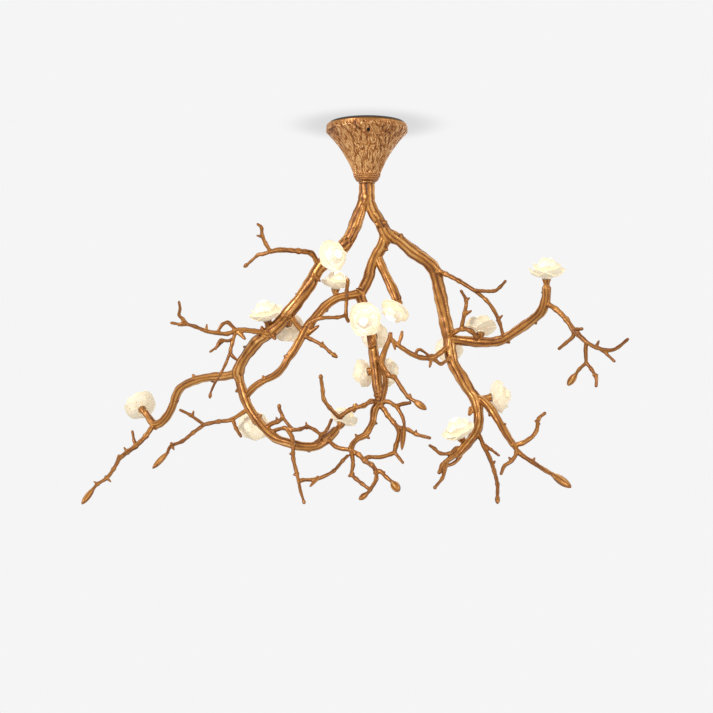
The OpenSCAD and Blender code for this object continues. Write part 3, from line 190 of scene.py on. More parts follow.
CASTINGS["centre_limb"] = {
    "ways": [
        [[33, -197, 2, 11.5], [32, -211, 4, 11], [26, -225, 9, 10.4], [16, -240, 15, 10.2],
            [8, -259, 20, 10], [3, -279, 24, 10], [-7, -300, 26, 10.5], [-12, -311, 26, 9.5],
            [-6, -328, 25, 9], [-2, -345, 24, 9], [6, -372, 21, 9], [11, -405, 17, 9.2],
            [14, -430, 14, 9.4], [17, -453, 11, 9.4], [19, -475, 8, 9], [23, -498, 5, 9.4],
            [25, -509, 4, 9]],
        [[20, -240, 14, 8], [29, -262, 12, 8.2], [38, -281, 9, 8.6], [48, -302, 4, 9], [55, -318, 0, 9]],
        [[43, -378, -12, 3.6], [42, -389, -12, 4.4], [37, -401, -10, 5], [31, -416, -4, 5.5],
            [27, -434, -2, 5.5], [33, -453, -3, 5.2], [34, -474, -2, 5], [30, -492, 0, 5.6],
            [27, -505, 3, 6]],
    ],
    "twigs": [
        [4.6, 3.6, [[20, -424, 6], [40, -456, -16], [50, -460, -24], [63, -480, -32], [75, -496, -40],
            [87, -504, -46]]],
        [3.6, 3.2, [[42, -388, -12], [50, -396, -14], [56, -401, -15], [62, -388, -14], [64, -378, -13]]],
    ],
    "nubs": [
        [[80, -499, -42], [78, -489, -44], 2.6], [[48, -396, -14], [52, -412, -16], 3],
        [[26, -226, 8], [40, -228, 4], 4], [[-10, -306, 22], [-20, -298, 16], 5],
        [[12, -400, 10], [2, -408, 4], 4], [[22, -496, 2], [12, -492, -6], 4],
    ],
    "buds": [[[86, -503, -45], [109, -520, -56], 6]],
}
CASTINGS["centre_left_limb"] = {
    "ways": [
        [[-10, -307, 25, 9], [-35, -312, 23, 8], [-54, -316, 22, 8.2], [-73, -328, 18, 8.5],
            [-89, -345, 12, 8.5], [-106, -366, 6, 9], [-120, -389, 2, 8], [-133, -411, 0, 7.5],
            [-144, -426, 0, 7], [-154, -443, 0, 6.8], [-167, -456, 2, 6.5], [-187, -466, 4, 6.5],
            [-203, -476, 6, 6.5], [-213, -486, 9, 6.5], [-220, -496, 12, 6.5]],
    ],
    "twigs": [
        [3.8, 3.4, [[-35, -287, -22], [-37, -303, -8], [-37, -318, 12], [-38, -347, 10], [-34, -358, 14]]],
        [3.4, 4, [[-38, -347, 10], [-54, -351, 0], [-81, -352, -4], [-98, -358, 0], [-108, -368, 4]]],
        [4, 3, [[-117, -385, 2], [-102, -391, -8], [-81, -402, -16], [-68, -414, -22], [-56, -423, -28]]],
        [5.2, 5, [[-139, -347, 0], [-135, -354, -1], [-127, -365, 1], [-117, -377, 4]]],
    ],
    "nubs": [
        [[-104, -378, 2], [-86, -365, -6], 4], [[-60, -420, -26], [-54, -424, -29], 4],
        [[-83, -402, -16], [-80, -394, -20], 2.8], [[-144, -426, 0], [-152, -420, -4], 4],
        [[-76, -330, 18], [-72, -342, 18], 4.5], [[-187, -466, 2], [-190, -456, -2], 3.6],
    ],
    "buds": [[[-35, -287, -22], [-35, -279, -25], 3.6]],
}
CASTINGS["centre_spray"] = {
    "ways": [
        [[25, -503, 4, 7.6], [14, -520, 2, 7.2], [11, -540, 0, 6.6], [5, -553, -2, 6.2],
            [-4, -566, -4, 6.4], [-16, -572, -6, 5.6], [-26, -582, -8, 5.2], [-30, -594, -10, 5.6]],
    ],
    "twigs": [
        [4.6, 4.4, [[-30, -594, -10], [-16, -601, -16], [-4, -613, -20], [9, -621, -24], [16, -631, -28]]],
        [4, 3.4, [[16, -631, -28], [16, -647, -34], [6, -664, -38], [0, -672, -40]]],
        [4, 3.4, [[16, -631, -28], [24, -632, -30], [34, -642, -34], [46, -652, -38]]],
        [4, 3.4, [[-30, -594, -10], [-27, -606, -16], [-26, -620, -22], [-28, -637, -28],
            [-20, -646, -32], [-9, -655, -35], [0, -662, -37]]],
        [4.6, 4.4, [[24, -512, 2], [32, -520, -4], [38, -530, -8], [49, -543, -14], [57, -555, -18],
            [58, -569, -20], [53, -584, -22], [50, -597, -22]]],
        [4, 3.8, [[50, -597, -22], [42, -601, -22], [24, -606, -22], [3, -606, -20], [-6, -610, -19]]],
        [3.6, 3, [[50, -597, -22], [65, -616, -26]]],
        [4.2, 3.4, [[57, -551, -18], [75, -556, -28], [89, -564, -36], [114, -571, -48]]],
        [4.2, 3.6, [[26, -506, 2], [40, -505, -4], [52, -512, -12], [65, -509, -26], [78, -507, -38]]],
        [3.8, 3.2, [[52, -512, -12], [58, -520, -20], [65, -533, -28], [68, -546, -32]]],
        [4.6, 3.6, [[22, -506, 2], [8, -504, -8], [-6, -512, -16], [-22, -516, -22], [-32, -520, -26],
            [-46, -530, -28], [-51, -533, -29], [-68, -516, -33], [-79, -500, -37], [-81, -484, -40],
            [-84, -464, -44]]],
    ],
    "nubs": [
        [[17, -634, -29], [34, -633, -33], 2.8], [[-28, -637, -28], [-35, -642, -30], 3.6],
        [[-22, -514, -22], [-24, -526, -24], 3.6], [[-22, -516, -22], [-19, -507, -24], 3.2],
        [[-16, -572, -6], [-22, -563, -8], 3.2], [[89, -564, -36], [90, -555, -38], 2.4],
        [[10, -541, 0], [20, -546, 4], 3.4], [[-4, -566, -4], [6, -573, 0], 3.4],
    ],
    "buds": [
        [[0, -672, -40], [-16, -684, -46], 5], [[46, -652, -38], [58, -669, -42], 7.5],
        [[68, -546, -32], [63, -595, -40], 4.6], [[-84, -464, -44], [-85, -454, -46], 4],
    ],
}
CASTINGS["right_limb"] = {
    "ways": [
        [[35, -199, 2, 11.2], [47, -204, 4, 11.8], [60, -211, 6, 11.6], [84, -231, 10, 12],
            [111, -250, 14, 12], [125, -268, 18, 12], [131, -294, 20, 12], [137, -325, 22, 11.6],
            [144, -361, 22, 11.6], [149, -385, 20, 11.8], [152, -412, 18, 11], [158, -437, 14, 11],
            [172, -459, 8, 11], [187, -484, 2, 11], [197, -498, -2, 11], [202, -516, -6, 10],
            [204, -538, -10, 9.6], [201, -555, -14, 9.2], [192, -571, -20, 9], [178, -587, -26, 8.2],
            [163, -603, -32, 6.4]],
    ],
    "twigs": [
        [5, 3.6, [[165, -601, -32], [148, -611, -42], [137, -620, -50], [131, -634, -56]]],
        [4, 3, [[146, -613, -44], [141, -630, -48], [137, -644, -54], [125, -659, -62]]],
        [3.6, 3.2, [[175, -590, -26], [169, -606, -22], [158, -617, -24], [145, -622, -28]]],
        [4, 3, [[172, -590, -26], [162, -590, -36], [151, -599, -46], [133, -599, -58], [122, -590, -66],
            [114, -585, -72]]],
        [4.8, 4, [[128, -264, 14], [144, -272, 2], [169, -285, -14], [196, -302, -28]]],
        [3.8, 2.8, [[196, -302, -28], [230, -303, -46], [242, -296, -54], [252, -285, -62]]],
        [3.8, 3.2, [[196, -302, -28], [217, -319, -26], [232, -339, -20], [242, -361, -14],
            [248, -384, -9]]],
        [5.2, 4.2, [[147, -404, 14], [135, -415, 4], [118, -425, -2], [97, -424, -8], [80, -417, -12],
            [66, -408, -15], [58, -403, -16]]],
        [3.6, 3.2, [[118, -425, -2], [126, -430, 0], [135, -436, 2], [148, -428, 10]]],
        [2.8, 2.6, [[89, -419, -10], [92, -411, -12], [98, -410, -12], [114, -421, -4]]],
        [4.4, 3.4, [[202, -559, -14], [213, -586, -22], [223, -607, -30], [231, -630, -38],
            [237, -655, -46], [237, -676, -52]]],
        [3, 2.6, [[210, -580, -20], [226, -592, -30], [240, -603, -38]]],
    ],
    "nubs": [
        [[62, -211, 4], [63, -197, 0], 5], [[190, -520, -6], [186, -531, -12], 4.5],
        [[118, -425, -2], [114, -444, -8], 3.4], [[229, -618, -34], [234, -612, -36], 2.8],
        [[240, -355, -16], [248, -346, -20], 2.6], [[125, -268, 24], [136, -262, 30], 4],
        [[139, -330, 30], [146, -320, 34], 4], [[160, -440, 20], [170, -436, 26], 4],
    ],
    "buds": [
        [[237, -676, -52], [237, -692, -56], 4.2], [[125, -659, -62], [121, -664, -64], 3.4],
    ],
}
CASTINGS["right_branch"] = {
    "ways": [
        [[151, -391, 19, 9.5], [181, -394, 10, 9.5], [206, -396, 2, 9.5], [228, -396, -4, 9],
            [248, -391, -8, 8.6], [275, -374, -16, 8.6], [302, -355, -26, 8.6], [319, -338, -36, 8.8],
            [326, -316, -44, 8.6], [327, -297, -50, 8]],
    ],
    "twigs": [
        [4.6, 4.2, [[153, -384, 10], [163, -376, -2], [175, -372, -10], [190, -376, -14], [200, -388, -8]]],
        [4.2, 3, [[172, -372, -8], [178, -343, -22], [181, -321, -26], [172, -303, -28]]],
        [5, 4.4, [[325, -324, -40], [345, -337, -50], [363, -355, -54], [375, -373, -58],
            [384, -382, -60], [399, -396, -64]]],
        [3.8, 3.2, [[376, -373, -58], [391, -372, -66]]],
        [3.8, 3.2, [[376, -376, -58], [375, -386, -54], [363, -397, -48], [350, -408, -42]]],
        [3.8, 3, [[399, -396, -64], [417, -406, -72], [441, -411, -84], [456, -406, -92],
            [474, -391, -102]]],
        [3.2, 2.6, [[417, -406, -72], [429, -412, -78], [450, -431, -88]]],
        [4, 3.4, [[399, -396, -64], [398, -412, -62], [399, -434, -58]]],
        [3.4, 3, [[399, -434, -58], [387, -445, -52], [380, -455, -48]]],
        [3.4, 3, [[399, -434, -58], [408, -445, -62], [417, -461, -68], [417, -476, -72]]],
    ],
    "nubs": [
        [[180, -345, -22], [192, -338, -26], 3.2], [[250, -393, -8], [262, -398, -4], 4],
        [[417, -404, -72], [423, -392, -76], 2.8], [[181, -321, -26], [188, -314, -28], 2.6],
        [[302, -355, -26], [310, -364, -22], 4], [[228, -396, -2], [234, -404, 6], 4],
        [[414, -456, -66], [421, -456, -68], 2.8], [[327, -310, -46], [317, -304, -42], 3.6],
    ],
    "buds": [[[380, -455, -48], [365, -476, -42], 6.2]],
}
CASTINGS["lower_right_limb"] = {
    "ways": [
        [[199, -499, -2, 7.6], [213, -504, -6, 8], [229, -523, -14, 7.6], [246, -550, -22, 7],
            [257, -569, -28, 6.6], [267, -584, -34, 6]],
    ],
    "twigs": [
        [4.8, 4.4, [[267, -584, -34], [284, -580, -36], [301, -569, -34]]],
        [4.2, 3.2, [[301, -569, -34], [309, -557, -30], [313, -536, -24], [324, -526, -20]]],
        [4.2, 3.2, [[267, -584, -34], [272, -598, -42], [263, -613, -50], [250, -622, -58],
            [244, -636, -64]]],
        [4.6, 3.8, [[267, -584, -34], [279, -600, -36], [301, -615, -40], [324, -630, -46],
            [340, -639, -50]]],
    ],
    "nubs": [
        [[228, -523, -14], [222, -532, -10], 4], [[262, -612, -50], [257, -605, -54], 2.6],
        [[312, -545, -28], [305, -538, -30], 2.6], [[301, -615, -40], [306, -606, -44], 2.8],
        [[246, -550, -22], [254, -544, -26], 3.6], [[270, -586, -34], [274, -594, -24], 4],
    ],
    "buds": [[[338, -638, -50], [372, -662, -58], 7]],
}


def swept(out, most, start, reach):
    return most * max(0, out - start) / reach


def sweep_back(x, z):
    return swept(-x, *LEFT_SWEEP) - swept(x, *RIGHT_SWEEP) - swept(-z, *BOTTOM_SWEEP)


def place(p):
    """A point in the row frame, in metres, from [x, z, depth]"""
    y = p[2] + sweep_back(p[0], p[1])
    k = 1 + y / VIEW_DISTANCE
    return np.array((p[0] * k, y, EYE_Z + (p[1] - EYE_Z) * k)) * MM


def flower_frame(f):
    """The flower's own frame, whose +Z is the way that it faces"""
    turn = Matrix.Rotation(math.radians(f[4]), 4, "Z") @ Matrix.Rotation(math.radians(f[3]), 4, "Y")
    return Matrix.Translation(Vector(place(f[2]))) @ turn


def link(name, data):
    obj = bpy.data.objects.new(name, data)
    bpy.context.collection.objects.link(obj)
    return obj


def built_mesh(bm, name):
    mesh = bpy.data.meshes.new(name)
    bm.to_mesh(mesh)
    bm.free()
    return mesh


def applied_mesh(obj):
    """The object's mesh with its modifiers applied"""
    bpy.context.view_layer.update()
    return bpy.data.meshes.new_from_object(obj.evaluated_get(bpy.context.evaluated_depsgraph_get()))


def finished_mesh(obj):
    """The same, and the object itself goes"""
    mesh = applied_mesh(obj)
    bpy.data.objects.remove(obj)
    return mesh


def shade_smooth(mesh):
    mesh.polygons.foreach_set("use_smooth", np.ones(len(mesh.polygons), bool))


# ---- Finishes ----
def fill(graph, node, sockets):
    """Link each input to another node's output, or set it to a value"""
    for socket, value in sockets.items():
        if isinstance(value, bpy.types.NodeSocket):
            graph.links.new(value, node.inputs[socket])
        else:
            node.inputs[socket].default_value = value


def add(graph, kind, sockets=(), **settings):
    node = graph.nodes.new(kind)
    for setting, value in settings.items():
        setattr(node, setting, value)
    fill(graph, node, dict(sockets))
    return node


def maths(graph, operation, *values):
    return add(graph, "ShaderNodeMath", enumerate(values), operation=operation).outputs[0]


def layer(graph, name, output="Fac"):
    """An attribute that the mesh carries"""
    return add(graph, "ShaderNodeAttribute", attribute_name=name).outputs[output]


def on_piece(graph):
    return add(graph, "ShaderNodeTexCoord").outputs["Object"]


def cloud(graph, scale, detail):
    """Soft noise over the piece, from 0 to 1"""
    sockets = {"Scale": scale, "Detail": detail, "Vector": on_piece(graph)}
    return add(graph, "ShaderNodeTexNoise", sockets).outputs["Fac"]


def ramp(graph, value, stops):
    """The colour at a value, from stops of [value, colour]"""
    tone = add(graph, "ShaderNodeValToRGB", {"Fac": value})
    bar = tone.color_ramp.elements
    while len(bar) < len(stops):
        bar.new(0.5)
    for spot, (at, colour) in zip(bar, stops):
        spot.position = at
        spot.color = (*colour[:3], 1)
    return tone.outputs["Color"]


def grey(level):
    return level, level, level


def new_finish(name):
    mat = bpy.data.materials.new(name)
    mat.use_nodes = True
    return mat, mat.node_tree, mat.node_tree.nodes["Principled BSDF"]


def plain_finish(name, colour, metallic=0.0, roughness=0.5, glow=()):
    """A plain finish with a faint mottle in its colour and its gloss"""
    mat, graph, skin = new_finish(name)
    mottle = cloud(graph, 160, 3)
    tone = ramp(graph, mottle, [(0.3, [c * 0.9 for c in colour]), (0.7, colour)])
    spread = {"Value": mottle, "To Min": roughness - 0.06, "To Max": roughness + 0.06}
    gloss = add(graph, "ShaderNodeMapRange", spread).outputs["Result"]
    fill(graph, skin, {"Metallic": metallic, "Base Color": tone, "Roughness": gloss, **dict(glow)})
    return mat


def gilt_bark(name, tones, grain_scale, bump_strength, folded=False):
    """Cast bronze with a gilt brown patina: its colour is dark in the grooves and creases, partly patina
    and partly painted shade, and pale on the ridges, partly worn gilt and partly painted highlight
    """
    mat, graph, skin = new_finish(name)
    along_grain = {0: layer(graph, "grain", "Vector"), 1: grain_scale}
    stretch = add(graph, "ShaderNodeVectorMath", along_grain, operation="MULTIPLY").outputs["Vector"]
    streaks = {"Scale": 1, "Detail": 4, "Roughness": 0.55, "Vector": stretch}
    lines = add(graph, "ShaderNodeTexNoise", streaks).outputs["Fac"]
    if folded:
        # The creases become thin dark lines in the colour: patina with painted shade
        from_crease = maths(graph, "ABSOLUTE", maths(graph, "SUBTRACT", lines, 0.5))
        crease = ramp(graph, from_crease, [(0.0, grey(0)), (0.035, grey(0.35)), (0.15, grey(0.78))])
        lines = maths(graph, "MAXIMUM", crease, layer(graph, "plain"))

    def blend(a, share_a, b, share_b):
        return maths(graph, "MULTIPLY_ADD", b, share_b, maths(graph, "MULTIPLY", a, share_a))

    height = blend(layer(graph, "relief"), 0.64, lines, 0.36)
    # This mask darkens the grooves, as patina with painted shade, and lightens the ridges, as worn gilt
    # with painted highlight; it also sets the gloss
    wear_and_painted_light = blend(height, 0.85, cloud(graph, 22, 2), 0.15)
    burnish = {"Value": wear_and_painted_light, "From Min": 0.3, "From Max": 0.75, "To Min": 0.50, "To Max": 0.31}
    gloss = add(graph, "ShaderNodeMapRange", burnish).outputs["Result"]
    pits = {"Strength": bump_strength, "Distance": 0.0012, "Height": height}
    bump = add(graph, "ShaderNodeBump", pits).outputs["Normal"]
    tone = ramp(graph, wear_and_painted_light, tones)
    fill(graph, skin, {"Metallic": 0.38, "Base Color": tone, "Roughness": gloss, "Normal": bump})
    return mat


def lit_petal(name, rim, middle, heart, glow_strength, specks=False):
    """Porcelain petal lit from inside, shown as a painted glow: it emits its own colour, palest in its
    middle and a darker cream towards its foot and its rim as painted shade; the attribute petal runs from 0
    at its foot to 1 at its rim
    """
    mat, graph, skin = new_finish(name)
    mottle = maths(graph, "MULTIPLY_ADD", cloud(graph, 120, 3), 0.5, -0.25)
    spread = maths(graph, "ADD", mottle, layer(graph, "petal"))
    colour = ramp(graph, spread, [(0.05, heart), (0.5, middle), (0.95, rim)])
    if specks:
        dots = add(graph, "ShaderNodeTexVoronoi", {"Scale": 105, "Vector": on_piece(graph)})
        small = ramp(graph, dots.outputs["Distance"], [(0.07, (0.50, 0.30, 0.13)), (0.17, grey(1))])
        shares = {"Factor": 0.7, "A": colour, "B": small}
        mix = add(graph, "ShaderNodeMix", shares, data_type="RGBA", blend_type="MULTIPLY")
        colour = mix.outputs["Result"]
    # The petal's emission is a painted glow, standing in for the lamp's light coming through the porcelain
    glow = {"Emission Color": colour, "Emission Strength": glow_strength}
    depth = {"Subsurface Weight": 0.15, "Subsurface Radius": (0.006, 0.004, 0.002)}
    fill(graph, skin, {"Base Color": colour, "Roughness": 0.45, **depth, **glow})
    return mat


# Tones from groove to ridge: the darkest is patina with painted shade, the palest is worn gilt with painted
# highlight
BARK_TONES = [
    (0.36, (0.050, 0.012, 0.003)), (0.53, (0.29, 0.100, 0.018)),
    (0.71, (0.61, 0.265, 0.050)), (0.88, (1.0, 0.70, 0.30)),
]
TRUMPET_TONES = [
    (0.34, (0.060, 0.015, 0.004)), (0.50, (0.31, 0.102, 0.021)),
    (0.65, (0.55, 0.22, 0.047)), (0.80, (0.92, 0.58, 0.26)),
]
BARK = gilt_bark("gilt_bark", BARK_TONES, (0.46, 0.46, 0.024), 0.4)
TRUMPET = gilt_bark("gilt_canopy", TRUMPET_TONES, (0.70, 0.70, 0.13), 0.65, folded=True)
COLLAR = plain_finish("gilt_collar", (0.42, 0.20, 0.07), 0.6, 0.42)
ZINC = plain_finish("zinc_plate", (0.33, 0.335, 0.34), 0.8, 0.5)
BLACKENED = plain_finish("blackened_screw", (0.035, 0.03, 0.028), 0.5, 0.35)
DRIVER_CASE = plain_finish("driver_case", (0.80, 0.80, 0.78), 0.0, 0.5)
TERMINAL = plain_finish("terminal_plastic", (0.78, 0.72, 0.58), 0.0, 0.45)
LEAD_JACKET = plain_finish("lead_jacket", (0.03, 0.03, 0.03), 0.0, 0.55)
HOLDER = plain_finish("holder_ceramic", (0.84, 0.80, 0.72), 0.0, 0.3)
LAMP_LIGHT = {"Emission Color": (1.0, 0.86, 0.64, 1), "Emission Strength": 5.0}
LAMP_GLOW = plain_finish("lit_capsule", (1.0, 0.93, 0.80), 0.0, 0.4, LAMP_LIGHT)
# One porcelain in three finishes of painted light: a pale painted glow on the petals' insides, a warmer,
# darker painted shade with specks on their outsides, and the strongest painted glow on the dome's outside
# over the lamp
PETAL_IN = lit_petal("petal_inside", (0.90, 0.80, 0.62), (1.0, 0.95, 0.86), (1.0, 0.93, 0.80), 0.30)
PETAL_OUT = lit_petal(
    "petal_outside", (0.90, 0.79, 0.58), (0.95, 0.87, 0.69), (0.93, 0.76, 0.50), 0.26, specks=True
)
DOME_OUT = lit_petal("dome_outside", (0.90, 0.77, 0.55), (1.0, 0.95, 0.88), (1.0, 0.88, 0.72), 0.36)

KEPT_NODES = {
    "ceiling_plate": ZINC, "hanger_bridge": ZINC, "canopy_screws": BLACKENED, "led_driver": DRIVER_CASE,
    "plate_screws": ZINC, "terminal_block": TERMINAL, "terminal_screws": ZINC, "input_lead": LEAD_JACKET,
    "output_lead": LEAD_JACKET, "stem": ZINC, "stem_washer": ZINC, "stem_nut": ZINC, "neck_collar": COLLAR,
    "wiring_loom": LEAD_JACKET, "lampholders": HOLDER,
}
KEPT_NODES.update({f"lamp_{number:02d}": LAMP_GLOW for number in range(1, len(FLOWERS) + 1)})
for node, finish in KEPT_NODES.items():
    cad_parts[node].data.materials.clear()
    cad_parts[node].data.materials.append(finish)


# ---- The tree: routes grown into strands, fused, barked and parted into the castings ----
LIMB_STEP, TWIG_STEP = 0.004, 0.003
TREE_VOXEL = 0.0011


def smooth_route(points, radii, step):
    """Points and radii along a smooth curve through a route's points, a step apart"""
    rows = np.array([[*place(p), r * MM] for p, r in zip(points, radii)])
    padded = np.vstack([2 * rows[0] - rows[1], rows, 2 * rows[-1] - rows[-2]])
    out = []
    for i in range(len(rows) - 1):
        a, b, c, d = padded[i : i + 4]
        count = max(1, round(np.linalg.norm((c - b)[:3]) / step))
        for t in np.arange(count) / count:
            square = (2 * a - 5 * b + 4 * c - d) * t**2
            cube = (3 * b - a - 3 * c + d) * t**3
            out.append(0.5 * (2 * b + (c - a) * t + square + cube))
    out.append(rows[-1])
    out = np.array(out)
    return out[:, :3], np.maximum(out[:, 3], rows[:, 3].min() * 0.8)


def rounded_end(points, radii, reach=1.0):
    ahead = points[-1] - points[-2]
    ahead = ahead / np.linalg.norm(ahead)
    last = radii[-1]
    steps = (0.45, 0.78, 0.97)
    points = np.vstack([points, [points[-1] + ahead * last * reach * t for t in steps]])
    return points, np.concatenate([radii, [last * math.sqrt(1 - t * t) for t in steps]])


def along_route(points):
    return np.concatenate([[0], np.cumsum(np.linalg.norm(np.diff(points, axis=0), axis=1))])


# A strand is its points, its radii, how many flutes go round it, and their depth as a share of its radius
def limb_strand(rows, phase):
    points, radii = smooth_route([r[:3] for r in rows], [r[3] for r in rows], LIMB_STEP)
    s = along_route(points)
    swell = 1 + 0.05 * np.sin(s * 120 + phase) + 0.035 * np.sin(s * 290 + 2.3 * phase)
    points, radii = rounded_end(points, radii * swell, 0.6)
    return points, radii, 4, 0.15


def twig_strand(twig, phase):
    first, last, route = twig
    count = len(route)
    radii = [first + (last - first) * i / (count - 1) for i in range(count)]
    points, radii = smooth_route(route, radii, TWIG_STEP)
    for knot in route[1:-1]:
        away = np.linalg.norm(points - place(knot), axis=1)
        radii = radii * (1 + 0.22 * np.exp(-((away / 0.0035) ** 2)))
    s = along_route(points)
    radii = radii * (0.96 + 0.06 * np.sin(s * 400 + phase))
    points, radii = rounded_end(points, radii)
    return points, radii, 3, 0.12


# Nubs and buds, as [share of the length, share of the radius]
NUB_SHAPE = [(-0.35, 1.3), (0.0, 1.2), (0.3, 1.0), (0.6, 0.88), (0.8, 0.7), (0.93, 0.42), (0.98, 0.12)]
BUD_SHAPE = [
    (-0.1, 0.5), (0.06, 0.66), (0.2, 0.95), (0.4, 1.1), (0.6, 1.05),
    (0.76, 0.84), (0.88, 0.55), (0.95, 0.3), (0.98, 0.1),
]


def shaped_strand(first, last, radius, shape, flutes):
    a, b = place(first), place(last)
    points = np.array([a + (b - a) * t for t, _ in shape])
    return points, np.array([radius * MM * r for _, r in shape]), flutes, 0.1


def stub_strand(f):
    """The short stalk between a limb and its flower, widening into the flower's seat"""
    root, base = place(f[1]), place(f[2])
    way = np.array(flower_frame(f).to_3x3() @ Vector((0, 0, 1)))
    middle = root * 0.5 + (base - way * 0.005) * 0.5
    points = [root, middle, base - way * 0.0055, base - way * 0.002, base - way * 0.0002]
    return np.array(points), np.array((5.6, 5.2, 6.2, 8.0, 8.3)) * MM, 4, 0.06


def all_strands():
    strands = []
    for owner, (casting, parts) in enumerate(CASTINGS.items()):
        grown = [limb_strand(rows, owner + 2.1 * i) for i, rows in enumerate(parts["ways"])]
        grown += [twig_strand(twig, owner + 1.3 * i) for i, twig in enumerate(parts["twigs"])]
        grown += [shaped_strand(*nub, NUB_SHAPE, 2) for nub in parts["nubs"]]
        grown += [shaped_strand(*bud, BUD_SHAPE, 3) for bud in parts["buds"]]
        grown += [stub_strand(f) for f in FLOWERS if f[0] == casting]
        strands += [(owner, *g) for g in grown]
    return strands


def fused_tree(strands):
    curve = bpy.data.curves.new("tree_routes", "CURVE")
    curve.dimensions = "3D"
    curve.bevel_depth = 1
    curve.bevel_resolution = 3
    curve.use_fill_caps = True
    for _, points, radii, _, _ in strands:
        spline = curve.splines.new("POLY")
        spline.points.add(len(points) - 1)
        spline.points.foreach_set("co", np.hstack([points, np.ones((len(points), 1))]).ravel())
        spline.points.foreach_set("radius", radii + 0.0001)
    tree = link("tree_fused", finished_mesh(link("tree_routes", curve)))
    fuse = tree.modifiers.new("fuse", "REMESH")
    fuse.mode = "VOXEL"
    fuse.voxel_size = TREE_VOXEL
    ease = tree.modifiers.new("ease", "SMOOTH")
    ease.factor = 0.5
    ease.iterations = 5
    return finished_mesh(tree)


def neighbour_mean(values, edges, rounds):
    """Each vertex's values averaged with its neighbours', again and again"""
    count = len(values)
    ones = np.bincount(edges.ravel(), minlength=count).astype(float)[:, None] + 1
    values = values.reshape(count, -1).astype(float)
    for _ in range(rounds):
        total = values.copy()
        for k in range(values.shape[1]):
            total[:, k] += np.bincount(edges[:, 0], values[edges[:, 1], k], count)
            total[:, k] += np.bincount(edges[:, 1], values[edges[:, 0], k], count)
        values = total / ones
    return values


# The columns of a strand's sample: its point, its frame, and the rest, all in metres
POINT, AHEAD, SIDE, UP = slice(0, 3), slice(3, 6), slice(6, 9), slice(9, 12)
ALONG, RADIUS, OWNER, FLUTES, DEPTH, STRAND = range(12, 18)
# Where strands run together, how much nearer a later one must be to give its bark
STRAND_FAVOUR = 0.00005


def strand_samples(strands):
    rows = []
    for number, (owner, points, radii, flutes, depth) in enumerate(strands):
        ahead = np.gradient(points, axis=0)
        ahead /= np.linalg.norm(ahead, axis=1)[:, None]
        side = np.cross(ahead[0], (0.13, 1, 0.07))
        s = along_route(points)
        for i, t in enumerate(ahead):
            side = side - t * side.dot(t)
            side = side / np.linalg.norm(side)
            up = np.cross(t, side)
            rows.append([*points[i], *t, *side, *up, s[i], radii[i], owner, flutes, depth, number])
    return np.array(rows)


def read_rows(items, key, width, kind=float):
    rows = np.empty(len(items) * width, kind)
    items.foreach_get(key, rows)
    return rows.reshape(-1, width)


def bark(mesh, strands):
    """Flutes, ridges and knots along the strands. Returns the owner of each vertex."""
    rows = strand_samples(strands)
    tree = kdtree.KDTree(len(rows))
    for i, row in enumerate(rows):
        tree.insert(row[POINT], i)
    tree.balance()
    co = read_rows(mesh.vertices, "co", 3)
    normal = read_rows(mesh.vertices, "normal", 3)
    edges = read_rows(mesh.edges, "vertices", 2, int)
    count = len(co)
    near, owning = np.zeros(count, int), np.zeros(count, int)
    radii = rows[:, RADIUS]
    favour = radii - STRAND_FAVOUR * rows[:, STRAND]
    for i, v in enumerate(co):
        hits = tree.find_n(v, 5)
        near[i] = min(hits, key=lambda hit: hit[2] - favour[hit[1]])[1]
        owning[i] = min(hits, key=lambda hit: hit[2] - radii[hit[1]])[1]
    r = rows[near]
    off = co - r[:, POINT]
    s = (r[:, ALONG] + (off * r[:, AHEAD]).sum(1)) * 1000
    across = (off * r[:, SIDE]).sum(1)
    up = (off * r[:, UP]).sum(1)
    turn = np.arctan2(up, across)
    phase = r[:, STRAND] * 1.7
    k = r[:, FLUTES]
    flute = 0.74 * np.sin(k * turn + 1.1 * np.sin(s / 52 + phase) + phase)
    flute += 0.22 * np.sin((k + 2) * turn - 1.3 * np.sin(s / 38 + 2 * phase) + s / 80)
    flute += 0.14 * np.sin(2 * turn + s / 16 + phase)
    relief = np.clip(np.abs(flute) ** 0.42 * 1.02, 0, 1)
    relief = neighbour_mean(relief, edges, 1)[:, 0]
    lift = neighbour_mean((relief - 0.62) * r[:, DEPTH] * np.maximum(r[:, RADIUS], 0.0025), edges, 1)
    co = co + normal * lift
    mesh.vertices.foreach_set("co", co.ravel())
    # The stored relief sets the bronze colour, dark grooves of patina with painted shade and pale ridges of
    # worn gilt with painted highlight; thin strands get a lower relief, which makes them darker
    relief_lower_on_thin = relief * (0.76 + 0.24 * np.clip((r[:, RADIUS] * 1000 - 2) / 5, 0, 1))
    mesh.attributes.new("relief", "FLOAT", "POINT").data.foreach_set("value", relief_lower_on_thin)
    around = [np.cos(turn) * r[:, RADIUS] * 1000, np.sin(turn) * r[:, RADIUS] * 1000]
    grain = np.stack([*around, s + 37 * r[:, STRAND]], 1)
    mesh.attributes.new("grain", "FLOAT_VECTOR", "POINT").data.foreach_set("vector", grain.ravel())
    owners = np.zeros((count, len(CASTINGS)))
    owners[np.arange(count), rows[owning, OWNER].astype(int)] = 1
    return neighbour_mean(owners, edges, 8).argmax(1)


